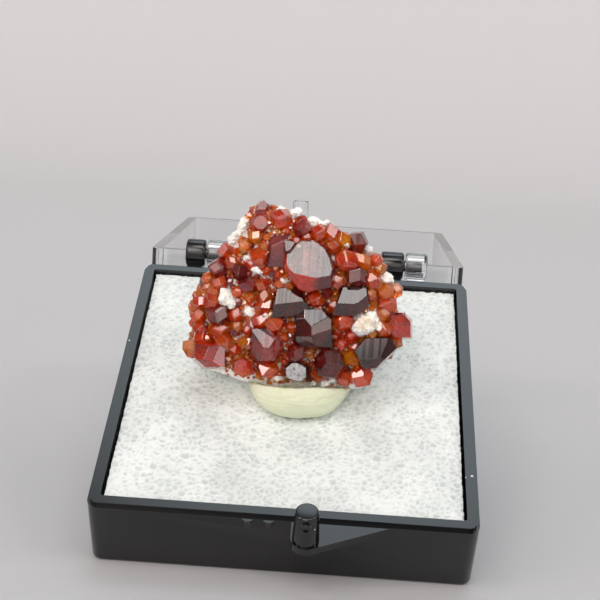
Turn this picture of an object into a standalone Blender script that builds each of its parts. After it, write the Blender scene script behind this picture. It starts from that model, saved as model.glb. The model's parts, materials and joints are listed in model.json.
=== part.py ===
"""Garnet crystals on a matrix slab, stuck with putty on foam in a small hinged display box.

The box stands as it does on a table when it is opened right back: the clear lid lies on its
flat top with its rim up, and the black base leans on it, hinge side high, front edge down.
Everything is worked out in the base's own frame, in millimetres: x to the right, y to the
hinge, z up, with z = 0 on the base's rim. An empty then tilts and places that frame.
"""
import math
import random
from itertools import combinations

import bmesh
import bpy
from mathutils import Matrix, Vector, noise

MM = 0.001
WELD = 0.000001
GAP = 0.3                     # clearance between pieces that touch

# Box, in the base's frame
WIDTH = 56.0                  # outer width and depth
BASE_H = 12.28                # rim to underside
BASE_WALL = 1.84              # outer face to foam edge
LEDGE = 0.45                  # outer step round the lip
LEDGE_DROP = 0.65             # how far the step lies below the rim
CORNER_R = 1.6                # upright corners
WELL_CORNER_R = 0.4
FOOT_R = 0.6                  # rounded lower edges
FLOOR_T = 1.8
LID_WALL = 1.9
OPEN_TILT = 30.0              # lean of the base when the lid is folded right back

# Hinge
AXIS_BACK = 3.4               # axis behind the back wall
AXIS_Z = 0.15
BARREL_R = 2.4
PIN_R = 1.0
TAB_H = 2.1
BASE_BARRELS = ((-21.2, -17.8, 3.3), (13.0, 17.0, 3.2))     # from, to, pin length
LID_BARRELS = ((-17.5, -13.6), (17.3, 21.1))
PIN_END_GAP = 0.3

# Catch
POST_X = 3.5
POST_Y = -30.8
POST_R = (1.95, 1.65)         # foot and tip
POST_TOP = 4.9
PLATE_T = 1.3
PLATE_R = 2.15                # rounded end round the post
PLATE_RUN = 16.1              # where the slanted edge meets the wall
NUB_R = 0.67
BUMPS = (-4.9, -1.9)          # moulding marks on the front ledge
BUMP_R = (0.3, 0.95)

# Foam and putty
FOAM_TOP = -0.75
FOAM_CELLS = 10               # steps across the foam's top
FOAM_SWELL = 0.12             # unevenness of the cut top
PUTTY_AT = (0.8, -0.3)
PUTTY_R = 8.3
PUTTY_TOP = 7.5
PUTTY_REACH = -7.5            # garnets lower than this on the face may touch the putty

# Specimen: places on its face are (right, up) in mm from the face's middle, as seen along
# the line of sight from EYE, and the height is measured out of that plane towards EYE.
EYE = Vector((5.26, -149.76, 140.32))
EYE_DISTANCE = 198.3
SIGHT_YAW = 1.94
SIGHT_PITCH = 39.5
SIGHT_ROLL = 2.56
SIGHT_AT = (0.305, -0.61)     # where the line of sight meets the face
LEAN = 0.167                  # the face leans forward of that plane
MIDDLE = (0.0, -1.0)
ROCK_INSET = 1.5
ROCK_THICK = 8.5
ROCK_STEPS = 30
FRONT_RINGS = (0.3, 0.56, 0.78, 0.93, 1.0)     # shares of the way to the outline
BACK_RINGS = (0.9, 0.5)
CRUST_T = 0.8
CRUST_REACH = 3.0             # how far the crust wraps round the slab's edge

OUTLINE = (
    (-7.0, 14.2), (-5.4, 14.7), (-4.2, 14.2), (-3.2, 13.4), (-1.2, 13.8), (0.9, 12.7), (2.2, 11.9),
    (3.4, 11.7), (4.7, 10.5), (6.2, 10.4), (8.3, 9.8), (9.6, 8.7), (10.3, 7.5), (11.4, 6.6),
    (12.8, 5.9), (13.2, 3.3), (14.6, 2.3), (15.7, 1.4), (15.3, -1.2), (15.1, -2.4), (17.2, -4.0),
    (17.0, -5.9), (15.8, -7.0), (13.9, -9.0), (12.9, -10.4), (11.0, -11.2), (10.8, -13.0),
    (9.4, -13.6), (6.0, -13.8), (3.0, -13.6), (0.5, -13.7), (-2.0, -13.7), (-5.3, -13.3),
    (-7.5, -12.8), (-10.0, -12.1), (-12.0, -11.7), (-14.6, -11.0), (-15.9, -9.6), (-17.3, -8.4),
    (-17.5, -7.5), (-16.3, -6.2), (-16.8, -3.5), (-16.9, -1.2), (-16.4, 0.1), (-15.0, 2.5),
    (-13.9, 4.2), (-12.2, 5.6), (-11.4, 7.0), (-10.6, 8.0), (-9.7, 10.0), (-8.8, 11.3), (-7.6, 12.9))

# White lumps of matrix that stand clear of the crust: right, up, radius, height
LUMPS = (
    (-10.8, -0.2, 1.9, 2.2), (10.3, -3.9, 2.9, 3.0), (13.4, 2.6, 1.8, 2.2), (-9.0, 9.6, 1.7, 2.0),
    (-7.3, -2.4, 1.3, 1.9), (2.6, 11.2, 1.6, 1.8), (10.7, 6.9, 1.2, 1.8), (-6.3, 3.7, 1.3, 1.7))

# Large garnets that are nodes of their own: right, up, width, upright share, height, spin
BIG_GARNETS = {
    "garnet_crown": (((1.6, 4.9), 7.6, 1.0, 2.6, 12.0),),
    "garnet_left_shadow": (((-4.3, 6.9), 2.9, 1.25, 1.2, 40.0),),
    "garnet_left_middle": (((-1.5, -0.9), 4.5, 1.0, 2.2, 30.0),),
    "garnet_right_middle": (((8.6, -0.6), 5.2, 0.8, 2.3, 5.0),),
    "garnet_centre_low": (((2.3, -5.4), 5.4, 1.0, 3.4, 20.0),),
    "garnet_left_low": (((-4.8, -7.5), 4.7, 1.0, 2.8, 50.0),),
    "garnet_hexagon_low": (((-0.4, -11.7), 3.4, 0.9, 2.4, 0.0),),
    "garnet_left_tip": (((-13.4, -9.3), 4.8, 0.8, 1.7, 15.0),),
    "garnet_right_low": (((11.5, -8.8), 5.6, 0.82, 1.8, 25.0),),
    "garnet_right_tip": (((15.5, -4.7), 3.4, 1.25, 0.4, 70.0),),
    "garnet_top_pair": (((-5.5, 13.3), 2.9, 0.9, 0.8, 10.0), ((-5.7, 11.4), 3.2, 0.95, 1.5, 35.0)),
    "garnet_red_block": (((5.0, -10.4), 3.8, 1.0, 2.0, 60.0),),
}

# Medium garnets fused into the crust: right, up, width
MEDIUM_GARNETS = (
    (-2.6, 11.7, 3.0), (0.6, 10.3, 2.2), (3.2, 9.7, 2.3), (5.2, 9.3, 2.4), (7.0, 8.4, 2.2),
    (9.0, 8.1, 2.8), (5.6, 7.6, 1.8), (7.4, 5.4, 3.2), (9.7, 5.2, 2.4), (11.9, 5.5, 1.9),
    (12.4, 4.2, 1.9), (8.9, 3.2, 2.6), (11.3, 2.3, 2.3), (13.3, 0.6, 2.3), (15.0, 0.8, 1.8),
    (13.5, -1.2, 2.4), (12.9, -2.8, 1.9), (13.2, -5.0, 2.0), (11.2, -5.8, 1.8), (6.9, -3.9, 2.4),
    (8.1, -6.2, 1.9), (6.6, -7.3, 1.7), (8.1, -9.5, 2.0), (9.6, -12.2, 2.8), (7.0, -12.5, 2.3),
    (3.2, -12.4, 2.4), (-4.6, -11.1, 2.6), (-8.4, -10.8, 2.6), (-9.6, -8.1, 1.8), (-8.3, -7.1, 1.5),
    (-11.3, -6.9, 2.5), (-12.0, -5.2, 2.3), (-14.8, -6.5, 2.0), (-16.1, -7.9, 2.4), (-14.8, -4.8, 1.9),
    (-12.1, -2.8, 2.9), (-15.1, -3.1, 1.9), (-9.5, -3.0, 1.9), (-9.3, -4.6, 1.7), (-5.9, -3.8, 2.2),
    (-3.6, -4.2, 2.6), (-5.2, -1.6, 2.2), (-13.0, -0.9, 2.0), (-14.9, -1.0, 1.8), (-12.0, 4.2, 2.5),
    (-11.9, 1.9, 2.0), (-13.8, 2.7, 1.6), (-11.0, 6.8, 2.0), (-10.1, 5.1, 1.9), (-8.1, 7.6, 1.8),
    (-8.7, 3.6, 2.2), (-7.6, 1.7, 2.2), (-5.5, 1.5, 1.8), (-6.0, 6.0, 2.3), (-5.1, -0.2, 1.9),
    (2.6, -0.5, 1.8), (-0.2, -8.6, 2.5), (5.6, -1.6, 1.8), (5.9, 2.2, 1.9), (-6.6, 9.0, 1.7))
SMALL_GARNETS = 14            # seeded ones along the rim of the slab
SMALL_WIDTH = (0.9, 1.7)
PLAIN_HABIT = 1.2             # distance of the kites where only the rhombs show
RICH_HABIT = 1.03             # and where both show
RICH_FROM = 4.6               # narrowest garnet that is given both
SEED = 7

FACE = (Matrix.Rotation(math.radians(SIGHT_YAW), 3, "Z")
        @ Matrix.Rotation(math.radians(90.0 - SIGHT_PITCH), 3, "X")
        @ Matrix.Rotation(math.radians(SIGHT_ROLL), 3, "Z"))
HALF = WIDTH / 2
AXIS_Y = HALF + AXIS_BACK


def lid_height():
    """Rim to flat top, so that the opened lid and the leaning base stand on one floor."""
    lean = math.radians(OPEN_TILT)
    axis_up = AXIS_Y * math.sin(lean) + AXIS_Z * math.cos(lean)
    foot_down = (HALF * math.sin(lean) + BASE_H * math.cos(lean)
                 - FOOT_R * (math.sin(lean) + math.cos(lean) - 1))
    return axis_up + foot_down - AXIS_Z


# Scene and materials

def clear_scene():
    for old in list(bpy.data.objects):
        bpy.data.objects.remove(old, do_unlink=True)


def collection(name):
    group = bpy.data.collections.new(name)
    bpy.context.scene.collection.children.link(group)
    return group


def material(name, colour, rough, transmission=0.0):
    """A plain finish for one piece."""
    finish = bpy.data.materials.new(name)
    finish.use_nodes = True
    shader = finish.node_tree.nodes["Principled BSDF"]
    shader.inputs["Base Color"].default_value = (*colour, 1.0)
    shader.inputs["Roughness"].default_value = rough
    shader.inputs["Metallic"].default_value = 0.0
    shader.inputs["Transmission Weight"].default_value = transmission
    return finish


def piece_from(bm, name, group):
    """Turn mesh data in millimetres into a named object in metres."""
    bmesh.ops.scale(bm, vec=(MM, MM, MM), verts=bm.verts)
    mesh = bpy.data.meshes.new(name)
    bm.to_mesh(mesh)
    bm.free()
    piece = bpy.data.objects.new(name, mesh)
    group.objects.link(piece)
    return piece


def tool_from(bm, name, group):
    """The same for a shape that only cuts or joins another."""
    tool = piece_from(bm, name, group)
    tool.hide_render = True
    tool.display_type = "WIRE"
    return tool


def boolean(piece, tool, operation):
    """Cut a piece with another shape, or join them."""
    step = piece.modifiers.new(tool.name, "BOOLEAN")
    step.object = tool
    step.operation = operation
    step.solver = "EXACT"
    graph = bpy.context.evaluated_depsgraph_get()
    mesh = bpy.data.meshes.new_from_object(piece.evaluated_get(graph))
    piece.modifiers.clear()
    bm = bmesh.new()
    bm.from_mesh(mesh)
    bmesh.ops.remove_doubles(bm, verts=bm.verts, dist=WELD)
    bm.to_mesh(mesh)
    bm.free()
    piece.data = mesh


def settle(piece):
    """Keep only the largest closed body of a finished piece."""
    bm = bmesh.new()
    bm.from_mesh(piece.data)
    bmesh.ops.triangulate(bm, faces=bm.faces)
    drop_scraps(bm)
    bm.to_mesh(piece.data)
    bm.free()


def drop_scraps(bm):
    """Delete every loose body but the one with the most faces."""
    left = set(bm.faces)
    bodies = []
    while left:
        body = {left.pop()}
        edge_of_search = list(body)
        while edge_of_search:
            face = edge_of_search.pop()
            near = {other for edge in face.edges for other in edge.link_faces} & left
            left -= near
            body |= near
            edge_of_search += near
        bodies.append(body)
    bodies.sort(key=len)
    for body in bodies[:-1]:
        bmesh.ops.delete(bm, geom=list(body), context="FACES")
    loose = [vert for vert in bm.verts if not vert.link_faces]
    bmesh.ops.delete(bm, geom=loose, context="VERTS")


# Box

def block(low, high, corner=0.0, foot=0.0, foot_down=True):
    """A box with rounded upright corners and, if asked, one rounded rim of lower or upper edges."""
    bm = bmesh.new()
    bmesh.ops.create_cube(bm, size=1.0)
    low, high = Vector(low), Vector(high)
    bmesh.ops.scale(bm, vec=high - low, verts=bm.verts)
    bmesh.ops.translate(bm, vec=(low + high) / 2, verts=bm.verts)
    if corner:
        upright = [e for e in bm.edges if abs(e.verts[0].co.z - e.verts[1].co.z) > 0.01]
        bmesh.ops.bevel(bm, geom=upright, offset=corner, segments=3, profile=0.5, affect="EDGES")
    if foot:
        level = low.z if foot_down else high.z
        rim = [e for e in bm.edges if all(abs(v.co.z - level) < 0.001 for v in e.verts)]
        bmesh.ops.bevel(bm, geom=rim, offset=foot, segments=3, profile=0.5, affect="EDGES")
    return bm


def rod(radii, length, middle, along="Z", sides=24, round_end=0.0):
    """A round bar or cone, centred on middle."""
    bm = bmesh.new()
    bmesh.ops.create_cone(bm, cap_ends=True, segments=sides, radius1=radii[0], radius2=radii[1], depth=length)
    if round_end:
        caps = [e for e in bm.edges if abs(e.verts[0].co.z - e.verts[1].co.z) < 0.001]
        bmesh.ops.bevel(bm, geom=caps, offset=round_end, segments=1, profile=0.5, affect="EDGES")
    turn = Matrix.Rotation(math.radians(90), 4, "Y") if along == "X" else Matrix.Identity(4)
    if along == "Y":
        turn = Matrix.Rotation(math.radians(-90), 4, "X")
    bmesh.ops.transform(bm, matrix=Matrix.Translation(middle) @ turn, verts=bm.verts)
    return bm


def catch_plate(side, top):
    """The flat tongue that carries the post: round at the post, slanted back to the wall."""
    arc = [math.radians(a) for a in range(180, 301, 20)]
    outline = [(PLATE_R * math.cos(a) + POST_X, PLATE_R * math.sin(a) + POST_Y) for a in arc]
    outline += [(PLATE_RUN, -HALF + 0.3), (PLATE_RUN, -HALF + 1.0), (POST_X - PLATE_R, -HALF + 1.0)]
    curve = bpy.data.curves.new("catch_outline", "CURVE")
    curve.dimensions = "2D"
    curve.fill_mode = "BOTH"
    curve.extrude = PLATE_T / 2
    spline = curve.splines.new("POLY")
    spline.points.add(len(outline) - 1)
    for point, (x, y) in zip(spline.points, outline):
        point.co = (side * x, y, 0.0, 1.0)
    spline.use_cyclic_u = True
    shape = bpy.data.objects.new("catch_outline", curve)
    bpy.context.scene.collection.objects.link(shape)
    graph = bpy.context.evaluated_depsgraph_get()
    mesh = bpy.data.meshes.new_from_object(shape.evaluated_get(graph))
    bpy.data.objects.remove(shape, do_unlink=True)
    bm = bmesh.new()
    bm.from_mesh(mesh)
    bmesh.ops.remove_doubles(bm, verts=bm.verts, dist=0.0001)
    bmesh.ops.recalc_face_normals(bm, faces=bm.faces)
    bmesh.ops.translate(bm, vec=(0, 0, top - PLATE_T / 2), verts=bm.verts)
    return bm


def box_base(parts, tools):
    top = -LEDGE_DROP
    base = piece_from(block((-HALF, -HALF, -BASE_H), (HALF, HALF, top), CORNER_R, FOOT_R), "box_base", parts)
    lip = HALF - LEDGE
    inner = HALF - BASE_WALL
    adds = [block((-lip, -lip, top - 1.0), (lip, lip, 0.0), CORNER_R - LEDGE)]
    for start, end, pin in BASE_BARRELS:
        centre = ((start + end) / 2, AXIS_Y, AXIS_Z)
        adds.append(rod((BARREL_R, BARREL_R), end - start, centre, "X", 16, 0.45))
        adds.append(block((start + 0.4, HALF - 0.6, AXIS_Z - 0.5 - TAB_H), (end - 0.4, AXIS_Y, AXIS_Z - 0.5)))
        adds.append(rod((PIN_R, PIN_R), pin + 1.0, (end + (pin - 1.0) / 2, AXIS_Y, AXIS_Z), "X", 14))
    adds.append(catch_plate(1, top))
    post_h = POST_TOP - top + 0.3
    adds.append(rod(POST_R, post_h, (POST_X, POST_Y, POST_TOP - post_h / 2), "Z", 18, 0.25))
    nub_y = POST_Y - sum(POST_R) / 2
    adds.append(rod((NUB_R, NUB_R), 0.9, (POST_X, nub_y, POST_TOP * 0.38), "Y", 16, 0.15))
    for x in BUMPS:
        adds.append(rod(BUMP_R, 2.6, (x, -HALF + 0.35, top - 1.3), "Z", 12))
    for number, bm in enumerate(adds):
        boolean(base, tool_from(bm, f"base_join_{number}", tools), "UNION")
    well = block((-inner, -inner, FLOOR_T - BASE_H), (inner, inner, 2.0), WELL_CORNER_R)
    boolean(base, tool_from(well, "base_well", tools), "DIFFERENCE")
    settle(base)
    return base


def box_lid(parts, tools):
    """The lid as it lies when closed, in the base's frame; its hinge empty opens it."""
    rim = 2 * AXIS_Z
    top = rim + lid_height()
    lid = piece_from(block((-HALF, -HALF, rim), (HALF, HALF, top), CORNER_R, FOOT_R, False), "box_lid", parts)
    inner = HALF - LID_WALL
    adds = []
    for start, end in LID_BARRELS:
        centre = ((start + end) / 2, AXIS_Y, AXIS_Z)
        adds.append(rod((BARREL_R, BARREL_R), end - start, centre, "X", 16, 0.45))
        adds.append(block((start + 0.4, HALF - 0.6, AXIS_Z + 0.5), (end - 0.4, AXIS_Y, AXIS_Z + 0.5 + TAB_H)))
    adds.append(catch_plate(-1, rim + LEDGE_DROP + PLATE_T))
    post_h = POST_TOP + LEDGE_DROP + 0.3
    post_z = rim + LEDGE_DROP + 0.3 - post_h / 2
    adds.append(rod(POST_R[::-1], post_h, (-POST_X, POST_Y, post_z), "Z", 18, 0.25))
    for number, bm in enumerate(adds):
        boolean(lid, tool_from(bm, f"lid_join_{number}", tools), "UNION")
    cuts = [block((-inner, -inner, -2.0), (inner, inner, top - LID_WALL), CORNER_R - LEDGE)]
    for (start, _), (_, base_end, pin) in zip(LID_BARRELS, BASE_BARRELS):
        bore_end = base_end + pin + PIN_END_GAP
        length = bore_end - start + 1.0
        cuts.append(rod((PIN_R + GAP, PIN_R + GAP), length, (bore_end - length / 2, AXIS_Y, AXIS_Z), "X", 14))
    for number, bm in enumerate(cuts):
        boolean(lid, tool_from(bm, f"lid_cut_{number}", tools), "DIFFERENCE")
    settle(lid)
    return lid


# Foam and putty

def foam_pad(parts):
    """A square of foam a little smaller than the well, cut by hand, so its top is uneven."""
    side = HALF - BASE_WALL - GAP
    low = FLOOR_T - BASE_H + GAP
    bm = block((-side, -side, low), (side, side, FOAM_TOP - FOAM_SWELL))
    top = [f for f in bm.faces if f.normal.z > 0.9]
    edges = list({e for f in top for e in f.edges})
    bmesh.ops.subdivide_edges(bm, edges=edges, cuts=FOAM_CELLS - 1, use_grid_fill=True)
    for vert in bm.verts:
        inside = max(abs(vert.co.x), abs(vert.co.y)) < side - 0.1
        if inside and vert.co.z > low + 1.0 and (vert.co.xy - Vector(PUTTY_AT)).length > PUTTY_R + 2.0:
            vert.co.z += FOAM_SWELL * noise.noise(vert.co * 0.35)
    bmesh.ops.triangulate(bm, faces=bm.faces)
    return piece_from(bm, "foam_pad", parts)


def putty(parts, rooms):
    """A pressed ball: flat under, bulging at the front, with the slab sunk in its top."""
    rings = ((0.80, 0.0), (0.93, 0.10), (1.0, 0.27), (0.97, 0.45), (0.86, 0.63), (0.66, 0.80), (0.40, 0.93))
    foot = FOAM_TOP + GAP
    height = PUTTY_TOP - foot
    steps = 24
    bm = bmesh.new()
    loops = []
    for share, up in rings:
        loop = []
        for k in range(steps):
            turn = 2 * math.pi * k / steps
            swell = 1.0 + 0.045 * noise.noise(Vector((math.cos(turn) * 1.7, math.sin(turn) * 1.7, up * 2.0)))
            x = PUTTY_AT[0] + PUTTY_R * share * swell * math.cos(turn)
            y = PUTTY_AT[1] + PUTTY_R * share * swell * math.sin(turn)
            loop.append(bm.verts.new((x, y, foot + up * height)))
        loops.append(loop)
    for lower, upper in zip(loops, loops[1:]):
        bridge(bm, lower, upper)
    fan(bm, loops[0], bm.verts.new((*PUTTY_AT, foot)), True)
    fan(bm, loops[-1], bm.verts.new((*PUTTY_AT, PUTTY_TOP)), False)
    bmesh.ops.recalc_face_normals(bm, faces=bm.faces)
    ball = piece_from(bm, "mounting_putty", parts)
    for room in rooms:
        boolean(ball, room, "DIFFERENCE")
    settle(ball)
    return ball


def bridge(bm, lower, upper):
    for k in range(len(lower)):
        j = (k + 1) % len(lower)
        bm.faces.new((lower[k], lower[j], upper[j], upper[k]))


def fan(bm, loop, tip, flip):
    for k in range(len(loop)):
        j = (k + 1) % len(loop)
        bm.faces.new((loop[j], loop[k], tip) if flip else (loop[k], loop[j], tip))


# Specimen

def on_face(right, up, out):
    """A place on the specimen's face, in the base's frame."""
    near = (EYE_DISTANCE - out) / EYE_DISTANCE
    seen = Vector(((right - SIGHT_AT[0]) * near, (up - SIGHT_AT[1]) * near, out - EYE_DISTANCE))
    return EYE + FACE @ seen


def reach(turn, polar=[]):
    """Distance from the face's middle to the outline in one direction."""
    if not polar:
        for right, up in OUTLINE:
            x, y = right - MIDDLE[0], up - MIDDLE[1]
            polar.append((math.atan2(y, x) % (2 * math.pi), math.hypot(x, y)))
        polar.sort()
    turn %= 2 * math.pi
    after = next((p for p in polar if p[0] >= turn), (polar[0][0] + 2 * math.pi, polar[0][1]))
    before = next((p for p in reversed(polar) if p[0] < turn), (polar[-1][0] - 2 * math.pi, polar[-1][1]))
    share = (turn - before[0]) / max(after[0] - before[0], 1e-6)
    return before[1] + share * (after[1] - before[1])


def ground(right, up):
    """Height of the slab's front under the crust."""
    x, y = right - MIDDLE[0], up - MIDDLE[1]
    share = min(math.hypot(x, y) / reach(math.atan2(y, x)), 1.0)
    swell = 0.45 * noise.noise(Vector((right * 0.22, up * 0.22, 3.0)))
    return LEAN * up + 1.6 * (1 - share ** 3) - 2.2 * share ** 8 + swell


def slab(back, grow=0.0):
    """A slab with the specimen's outline, its back so far behind the ground, grown all round."""
    bm = bmesh.new()

    def ring(share, height):
        loop = []
        for k in range(ROCK_STEPS):
            turn = 2 * math.pi * k / ROCK_STEPS
            far = (reach(turn) - ROCK_INSET) * share + grow
            x, y = MIDDLE[0] + far * math.cos(turn), MIDDLE[1] + far * math.sin(turn)
            rough = 0.0 if height >= 0 else 0.7 * noise.noise(Vector((x * 0.3, y * 0.3, height)))
            loop.append(bm.verts.new(on_face(x, y, ground(x, y) + height + rough)))
        return loop

    loops = [ring(share, grow) for share in FRONT_RINGS]
    loops.append(ring(1.02, back * 0.45))
    loops += [ring(share, back - grow - 1.2 * (1 - share)) for share in BACK_RINGS]
    for inner, outer in zip(loops, loops[1:]):
        bridge(bm, inner, outer)
    fan(bm, loops[0], bm.verts.new(on_face(*MIDDLE, ground(*MIDDLE) + grow)), True)
    fan(bm, loops[-1], bm.verts.new(on_face(*MIDDLE, ground(*MIDDLE) + back - grow - 1.2)), False)
    bmesh.ops.triangulate(bm, faces=bm.faces)
    bmesh.ops.recalc_face_normals(bm, faces=bm.faces)
    return bm


def white_lump(lump, grow=0.0):
    """A knobbly boss of matrix that rises through the crust."""
    right, up, radius, height = lump
    bm = bmesh.new()
    bmesh.ops.create_icosphere(bm, subdivisions=2, radius=1.0)
    for vert in bm.verts:
        vert.co *= 1.0 + 0.12 * noise.noise(vert.co * 1.9 + Vector((right, up, 0.0)))
    stretch = Matrix.Diagonal((radius + grow, radius + grow, height + grow, 1.0))
    place = Matrix.Translation(on_face(right, up, ground(right, up))) @ FACE.to_4x4()
    bmesh.ops.transform(bm, matrix=place @ stretch, verts=bm.verts)
    return bm


def garnet_normals(rhombs, kites):
    """Face directions of a garnet: 12 rhombs and 24 kites, each with its distance."""
    faces = []
    for x in (-1, 0, 1):
        for y in (-1, 0, 1):
            for z in (-1, 0, 1):
                if abs(x) + abs(y) + abs(z) == 2:
                    faces.append((Vector((x, y, z)).normalized(), rhombs))
    for x in (-2, -1, 1, 2):
        for y in (-2, -1, 1, 2):
            for z in (-2, -1, 1, 2):
                if abs(x) + abs(y) + abs(z) == 4:
                    faces.append((Vector((x, y, z)).normalized(), kites))
    return faces


def corners(kites, known={}):
    """Corners of the solid that a garnet's faces enclose, in units of its rhombs' distance."""
    if kites in known:
        return known[kites]
    faces = garnet_normals(1.0, kites)
    found = []
    for trio in combinations(faces, 3):
        walls = Matrix([normal for normal, _ in trio])
        if abs(walls.determinant()) < 0.001:
            continue
        corner = walls.inverted() @ Vector([distance for _, distance in trio])
        inside = all(normal.dot(corner) < distance + 0.0001 for normal, distance in faces)
        if inside and all((corner - other).length > 0.001 for other in found):
            found.append(corner)
    known[kites] = found
    return found


def garnet(width, upright, centre, turn, kites, grow=0.0):
    """The solid between a garnet's faces. Garnets of two habits differ in the kites' distance."""
    bm = bmesh.new()
    for corner in corners(kites):
        bm.verts.new(corner)
    bmesh.ops.convex_hull(bm, input=bm.verts)
    size = width / 2 + grow
    stretch = Matrix.Diagonal((1.0, upright, 1.0, 1.0))
    place = Matrix.Translation(centre) @ FACE.to_4x4() @ stretch @ turn.to_4x4()
    bmesh.ops.transform(bm, matrix=place @ Matrix.Scale(size, 4), verts=bm.verts)
    bmesh.ops.recalc_face_normals(bm, faces=bm.faces)
    return bm


def facing(spin, lean_right, lean_up):
    """Turn a garnet so that one face looks out of the slab, leaning as given in degrees."""
    first = Matrix.Rotation(math.radians(45), 3, "Y")
    lean = (Matrix.Rotation(math.radians(lean_right), 3, "Y")
            @ Matrix.Rotation(math.radians(-lean_up), 3, "X"))
    return lean @ Matrix.Rotation(math.radians(spin), 3, "Z") @ first


def specimen(parts, tools):
    rock = piece_from(slab(-ROCK_THICK), "matrix_rock", parts)
    rock_grown = tool_from(slab(-ROCK_THICK, GAP), "rock_grown", tools)
    for number, lump in enumerate(LUMPS):
        boolean(rock, tool_from(white_lump(lump), f"lump_{number}", tools), "UNION")
        boolean(rock_grown, tool_from(white_lump(lump, GAP), f"lump_grown_{number}", tools), "UNION")
    crust = piece_from(slab(-CRUST_REACH, GAP + CRUST_T), "garnet_crust", parts)
    rooms = [tool_from(slab(-ROCK_THICK, 2 * GAP + CRUST_T), "slab_room", tools)]

    chance = random.Random(SEED)
    spots = [(x, y, width) for x, y, width in MEDIUM_GARNETS]
    for k in range(SMALL_GARNETS):
        turn = 2 * math.pi * (k + chance.uniform(-0.3, 0.3)) / SMALL_GARNETS
        width = chance.uniform(*SMALL_WIDTH)
        far = reach(turn) - width * 0.5
        spots.append((MIDDLE[0] + far * math.cos(turn), MIDDLE[1] + far * math.sin(turn), width))
    for number, (x, y, width) in enumerate(spots):
        turn = facing(chance.uniform(0, 180), chance.uniform(-25, 25), chance.uniform(-10, 35))
        centre = on_face(x, y, ground(x, y) + CRUST_T * 0.6)
        bm = garnet(width, 1.0, centre, turn, PLAIN_HABIT)
        boolean(crust, tool_from(bm, f"crust_garnet_{number}", tools), "UNION")
        if y < PUTTY_REACH:
            room = garnet(width, 1.0, centre, turn, PLAIN_HABIT, GAP)
            rooms.append(tool_from(room, f"garnet_room_{number}", tools))
    boolean(crust, rock_grown, "DIFFERENCE")

    pieces = [rock, crust]
    for name, stones in BIG_GARNETS.items():
        solids = []
        for number, ((x, y), width, upright, height, spin) in enumerate(stones):
            centre = on_face(x, y, ground(x, y) + height - width * 0.25)
            turn = facing(spin, 6.0, 14.0)
            bm = garnet(width, upright, centre, turn, RICH_HABIT if width > RICH_FROM else PLAIN_HABIT)
            if number:
                solids.append(tool_from(bm, f"{name}_second", tools))
            else:
                solids.append(piece_from(bm, name, parts))
            socket = garnet(width, upright, centre, turn, PLAIN_HABIT, GAP)
            cutter = tool_from(socket, f"{name}_socket_{number}", tools)
            boolean(crust, cutter, "DIFFERENCE")
            boolean(rock, cutter, "DIFFERENCE")
            if y < PUTTY_REACH:
                rooms.append(cutter)
        for second in solids[1:]:
            boolean(solids[0], second, "UNION")
        pieces.append(solids[0])
    settle(crust)
    settle(rock)
    return pieces, rooms


# Assembly

def place(pieces, lid):
    """Tilt the base's frame, open the lid, and stand the whole on the floor about the origin."""
    tilted = bpy.data.objects.new("base_frame", None)
    bpy.context.scene.collection.objects.link(tilted)
    tilted.rotation_euler.x = math.radians(OPEN_TILT)
    hinge = bpy.data.objects.new("lid_hinge", None)
    bpy.context.scene.collection.objects.link(hinge)
    hinge.parent = tilted
    hinge.location = (0.0, AXIS_Y * MM, AXIS_Z * MM)
    hinge.rotation_euler.x = math.radians(-180.0 - OPEN_TILT)
    for piece in pieces:
        piece.parent = tilted
    lid.data.transform(Matrix.Translation((0.0, -AXIS_Y * MM, -AXIS_Z * MM)))
    lid.parent = hinge
    bpy.context.view_layer.update()
    corners = [p.matrix_world @ v.co for p in pieces + [lid] for v in p.data.vertices]
    low = [min(c[i] for c in corners) for i in range(3)]
    high = [max(c[i] for c in corners) for i in range(3)]
    tilted.location = (-(low[0] + high[0]) / 2, -(low[1] + high[1]) / 2, -low[2])
    bpy.context.view_layer.update()


def finish_pieces(pieces):
    """Give each piece its own material."""
    looks = {
        "box_base": ((0.012, 0.012, 0.014), 0.12, 0.0),
        "box_lid": ((0.95, 0.95, 0.96), 0.03, 1.0),
        "foam_pad": ((0.74, 0.77, 0.75), 0.85, 0.0),
        "mounting_putty": ((0.78, 0.80, 0.58), 0.6, 0.0),
        "matrix_rock": ((0.85, 0.80, 0.68), 0.8, 0.0),
        "garnet_crust": ((0.45, 0.09, 0.02), 0.15, 0.4),
    }
    for piece in pieces:
        colour, rough, clear = looks.get(piece.name, ((0.12, 0.02, 0.02), 0.08, 0.4))
        piece.data.materials.clear()
        piece.data.materials.append(material(piece.name + "_finish", colour, rough, clear))


def main():
    clear_scene()
    parts = collection("garnet_on_matrix")
    tools = collection("cutters")
    stones, rooms = specimen(parts, tools)
    base = box_base(parts, tools)
    lid = box_lid(parts, tools)
    pieces = [base, foam_pad(parts), putty(parts, rooms)] + stones
    finish_pieces(pieces + [lid])
    place(pieces, lid)


main()
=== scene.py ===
"""Garnet crystals on a white matrix slab, stuck with putty on foam in a small hinged display box.

The box is opened right back: the clear lid lies on its flat top and the black base leans on it.
Shapes are worked out in millimetres in the base's own frame, as when the base lies level: x to
the right, y to the hinge, z up from the base's rim. Two matrices then put them in place.
"""
import json
import math
import random
from itertools import combinations, product

import bmesh
import bpy
import numpy as np
from mathutils import Matrix, Vector, noise


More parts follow.
